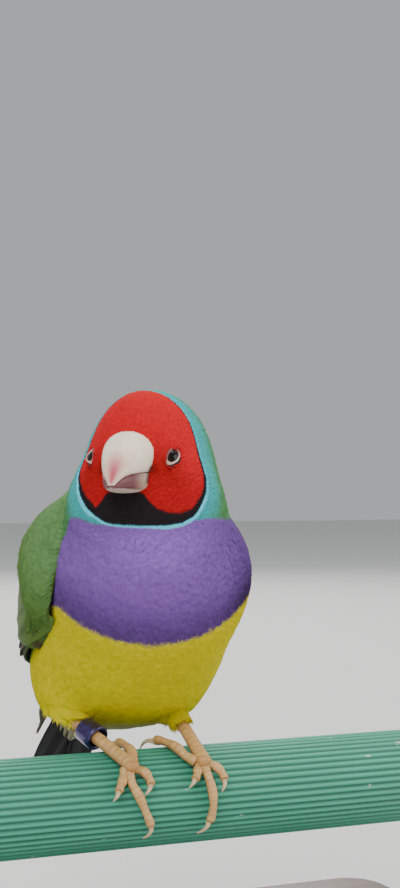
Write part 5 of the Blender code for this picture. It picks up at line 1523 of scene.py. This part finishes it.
for side_name, toe_places in TOES.items():
    ankle = np.array(LEG_BALLS[side_name])
    along = unit(np.array(LEG_WAYS[side_name]))
    shank = np.linspace(SHANK_FROM, SHANK_TO, 110)
    shank_radii = TARSUS_RADIUS * (1.0 - 0.09 * np.sin(math.pi * np.clip(shank / 12.0, 0.0, 1.0)))
    shank_path = ankle + along * shank[:, None]
    inside = height(shank_path) > -SHANK_IN_COAT
    last = int(np.argmin(inside)) if not inside.all() else len(inside)
    scales = SHANK_SCALES_A_MM * shank[last - 1]
    shin = scaled_tube(shank_path[:last], shank_radii[:last], LEG_FRONT, scales)
    leg_points, leg_faces, leg_colours = joined([shin])
    leg_name = f"leg_{side_name}"
    show(f"{leg_name}_skin", leg_points, leg_faces, leg_skin, (leg_name,), leg_colours)
    toes = []
    claws = []
    for toe_name, places in toe_places.items():
        path = smooth_path(places, TOE_STEPS)
        share = np.linspace(0.0, 1.0, TOE_STEPS)
        claw = np.clip((share - CLAW_FROM) / (1.0 - CLAW_FROM), 0.0, 1.0)
        pads = 1.0 + TOE_PAD_SWELL * np.cos(share * 6.0 * math.pi)
        stouter = HIND_TOE_STOUTER if toe_name == "hind" else 1.0
        radii = TOE_RADIUS * (1.0 - TOE_TAPER * share) * pads * stouter
        lift = CLAW_ARCH * np.sin(math.pi * claw)
        flesh = share <= CLAW_FROM + 0.03
        into_end = ((share - CLAW_FROM + 0.03) / 0.065).clip(0.0, 1.0)
        blunt_radii = radii * np.sqrt(np.clip(1.0 - into_end**2, 0.04, 1.0))
        middle = PERCH_RADIUS + GAP + np.maximum(radii, 0.3) + 0.12 + lift
        spine = perch_place(path[:, 0], path[:, 1], middle)
        over = (spine + np.array([0.0, 0.0, PERCH_RADIUS])) * np.array([0.0, 1.0, 1.0])
        plates = MIDDLE_TOE_SCALES if toe_name == "middle" else TOE_SCALES
        toes.append(scaled_tube(spine[flesh], blunt_radii[flesh], over[flesh], plates, 16))
        horn_part = share >= CLAW_FROM - 0.05
        claw_radii = TOE_RADIUS * CLAW_THICKNESS * (1.0 - claw) ** 0.8 + CLAW_TIP_RADIUS
        spine = perch_place(path[:, 0], path[:, 1], PERCH_RADIUS + GAP + 0.42 + lift)
        claw_rings, claw_shades = scaled_tube(spine[horn_part], claw_radii[horn_part], over[horn_part], 1, 12)
        claws.append((claw_rings, np.full(claw_shades.shape, CLAW_PALE)))
    polar = np.linspace(0.1, math.pi - 0.1, 16)[:, None]
    spin = full_turn(24)
    wide = KNUCKLE_WIDE * np.sin(polar)
    knuckle = np.stack(np.broadcast_arrays(
        wide * np.cos(spin), wide * np.sin(spin), KNUCKLE_LONG * np.cos(polar),
    ), axis=-1)
    toes.append((ankle - along * 0.3 + knuckle, np.full(knuckle.shape, SCALE_FLESH)))
    foot_name = f"foot_{side_name}"
    toe_points, toe_faces, toe_colours = joined(toes)
    show(f"{foot_name}_skin", toe_points, toe_faces, leg_skin, (foot_name,), toe_colours)
    claw_points, claw_faces, claw_colours = joined(claws)
    show(f"{foot_name}_claws", claw_points, claw_faces, claw_horn, (), claw_colours)

# The leg ring. A closed ring of aluminium with rounded edges, anodised dark violet and polished,
# slipped over the right foot when the bird was a chick.
RING_ALONG = 9.0
RING_INNER = 1.36
RING_OUTER = 1.88
RING_HEIGHT = 3.2
RING_EDGE = 0.18
RING_SIDES = 96
RING_VIOLET = (0.045, 0.028, 0.130)
RING_WORN = (0.085, 0.070, 0.200)
RING_ROUGHNESS = (0.14, 0.4)
anodised, shader = finish_of(
    "violet anodised aluminium", 0.2, Metallic=0.75, Coat_Weight=0.6, Coat_Roughness=0.08,
)
ring_scuffs = noise_in(anodised, (1400.0, 1400.0, 1400.0), 6.0)
ring_tone = ramp_in(anodised, ring_scuffs, (0.45, RING_VIOLET), (0.72, RING_WORN))
link_in(anodised, ring_tone, shader.inputs["Base Color"])
link_in(anodised, spread_in(anodised, ring_scuffs, *RING_ROUGHNESS), shader.inputs["Roughness"])
along = unit(np.array(LEG_WAYS["right"]))
across = unit(np.array([1.0, 0.0, 0.0]) - along * along[0])
over = np.cross(along, across)
ring_centre = np.array(LEG_BALLS["right"]) + along * RING_ALONG
half = RING_HEIGHT / 2.0 - RING_EDGE
wall = (RING_OUTER - RING_INNER) / 2.0
mid_radius = (RING_OUTER + RING_INNER) / 2.0
# The ring's section, as radii and rises, from the upper edge to the lower one and back up
profile = []
for end in (1.0, -1.0):
    for bend in np.linspace(-math.pi / 2.0, math.pi / 2.0, 7):
        radius = mid_radius - end * wall * math.sin(bend)
        profile.append((radius, end * (half + RING_EDGE * math.cos(bend))))
spin = full_turn(RING_SIDES)[:, None]
ways = np.cos(spin) * across + np.sin(spin) * over
ring_points = np.concatenate([ring_centre + ways * radius + along * rise for radius, rise in profile])
ring_quads = ring_faces(len(profile) + 1, RING_SIDES) % len(ring_points)
show("leg_ring_metal", ring_points, ring_quads, anodised, ("leg_ring",))

# The floor and the light. A plain pale floor and large soft lamps, apart from the model itself.
FLOOR_TONE = (0.72, 0.72, 0.70, 1.0)
MODEL_MIDDLE = (0.0, 0.0, 0.06)
ROOM_COLOUR = (0.80, 0.82, 0.84, 1.0)
ROOM_LIGHT = 0.55
floor_mesh = bpy.data.meshes.new("floor")
floor_mesh.from_pydata([(-3, -3, 0), (3, -3, 0), (3, 3, 0), (-3, 3, 0)], [], [(0, 1, 2, 3)])
pale_floor, shader = finish_of("pale floor", 0.8)
shader.inputs["Base Color"].default_value = FLOOR_TONE
floor_mesh.materials.append(pale_floor)
floor = bpy.data.objects.new("floor", floor_mesh)
bpy.context.scene.collection.objects.link(floor)


def lamp(name, at, aim, size, power):
    """A square soft lamp that looks at a point."""
    data = bpy.data.lights.new(name, "AREA")
    data.size = size
    data.energy = power
    made = bpy.data.objects.new(name, data)
    made.location = at
    made.rotation_mode = "QUATERNION"
    made.rotation_quaternion = (Vector(aim) - Vector(at)).to_track_quat("-Z", "Y")
    bpy.context.scene.collection.objects.link(made)


lamp("window", (-0.55, -0.75, 0.75), MODEL_MIDDLE, 0.7, 9.0)
lamp("ceiling", (0.2, 0.1, 1.1), MODEL_MIDDLE, 0.9, 8.0)
lamp("side", (0.9, -0.4, 0.45), MODEL_MIDDLE, 0.7, 4.0)
lamp("behind", (0.2, 0.9, 0.6), MODEL_MIDDLE, 0.7, 5.0)
world = bpy.data.worlds.new("soft room")
world.use_nodes = True
background = world.node_tree.nodes["Background"]
background.inputs["Color"].default_value = ROOM_COLOUR
background.inputs["Strength"].default_value = ROOM_LIGHT
bpy.context.scene.world = world
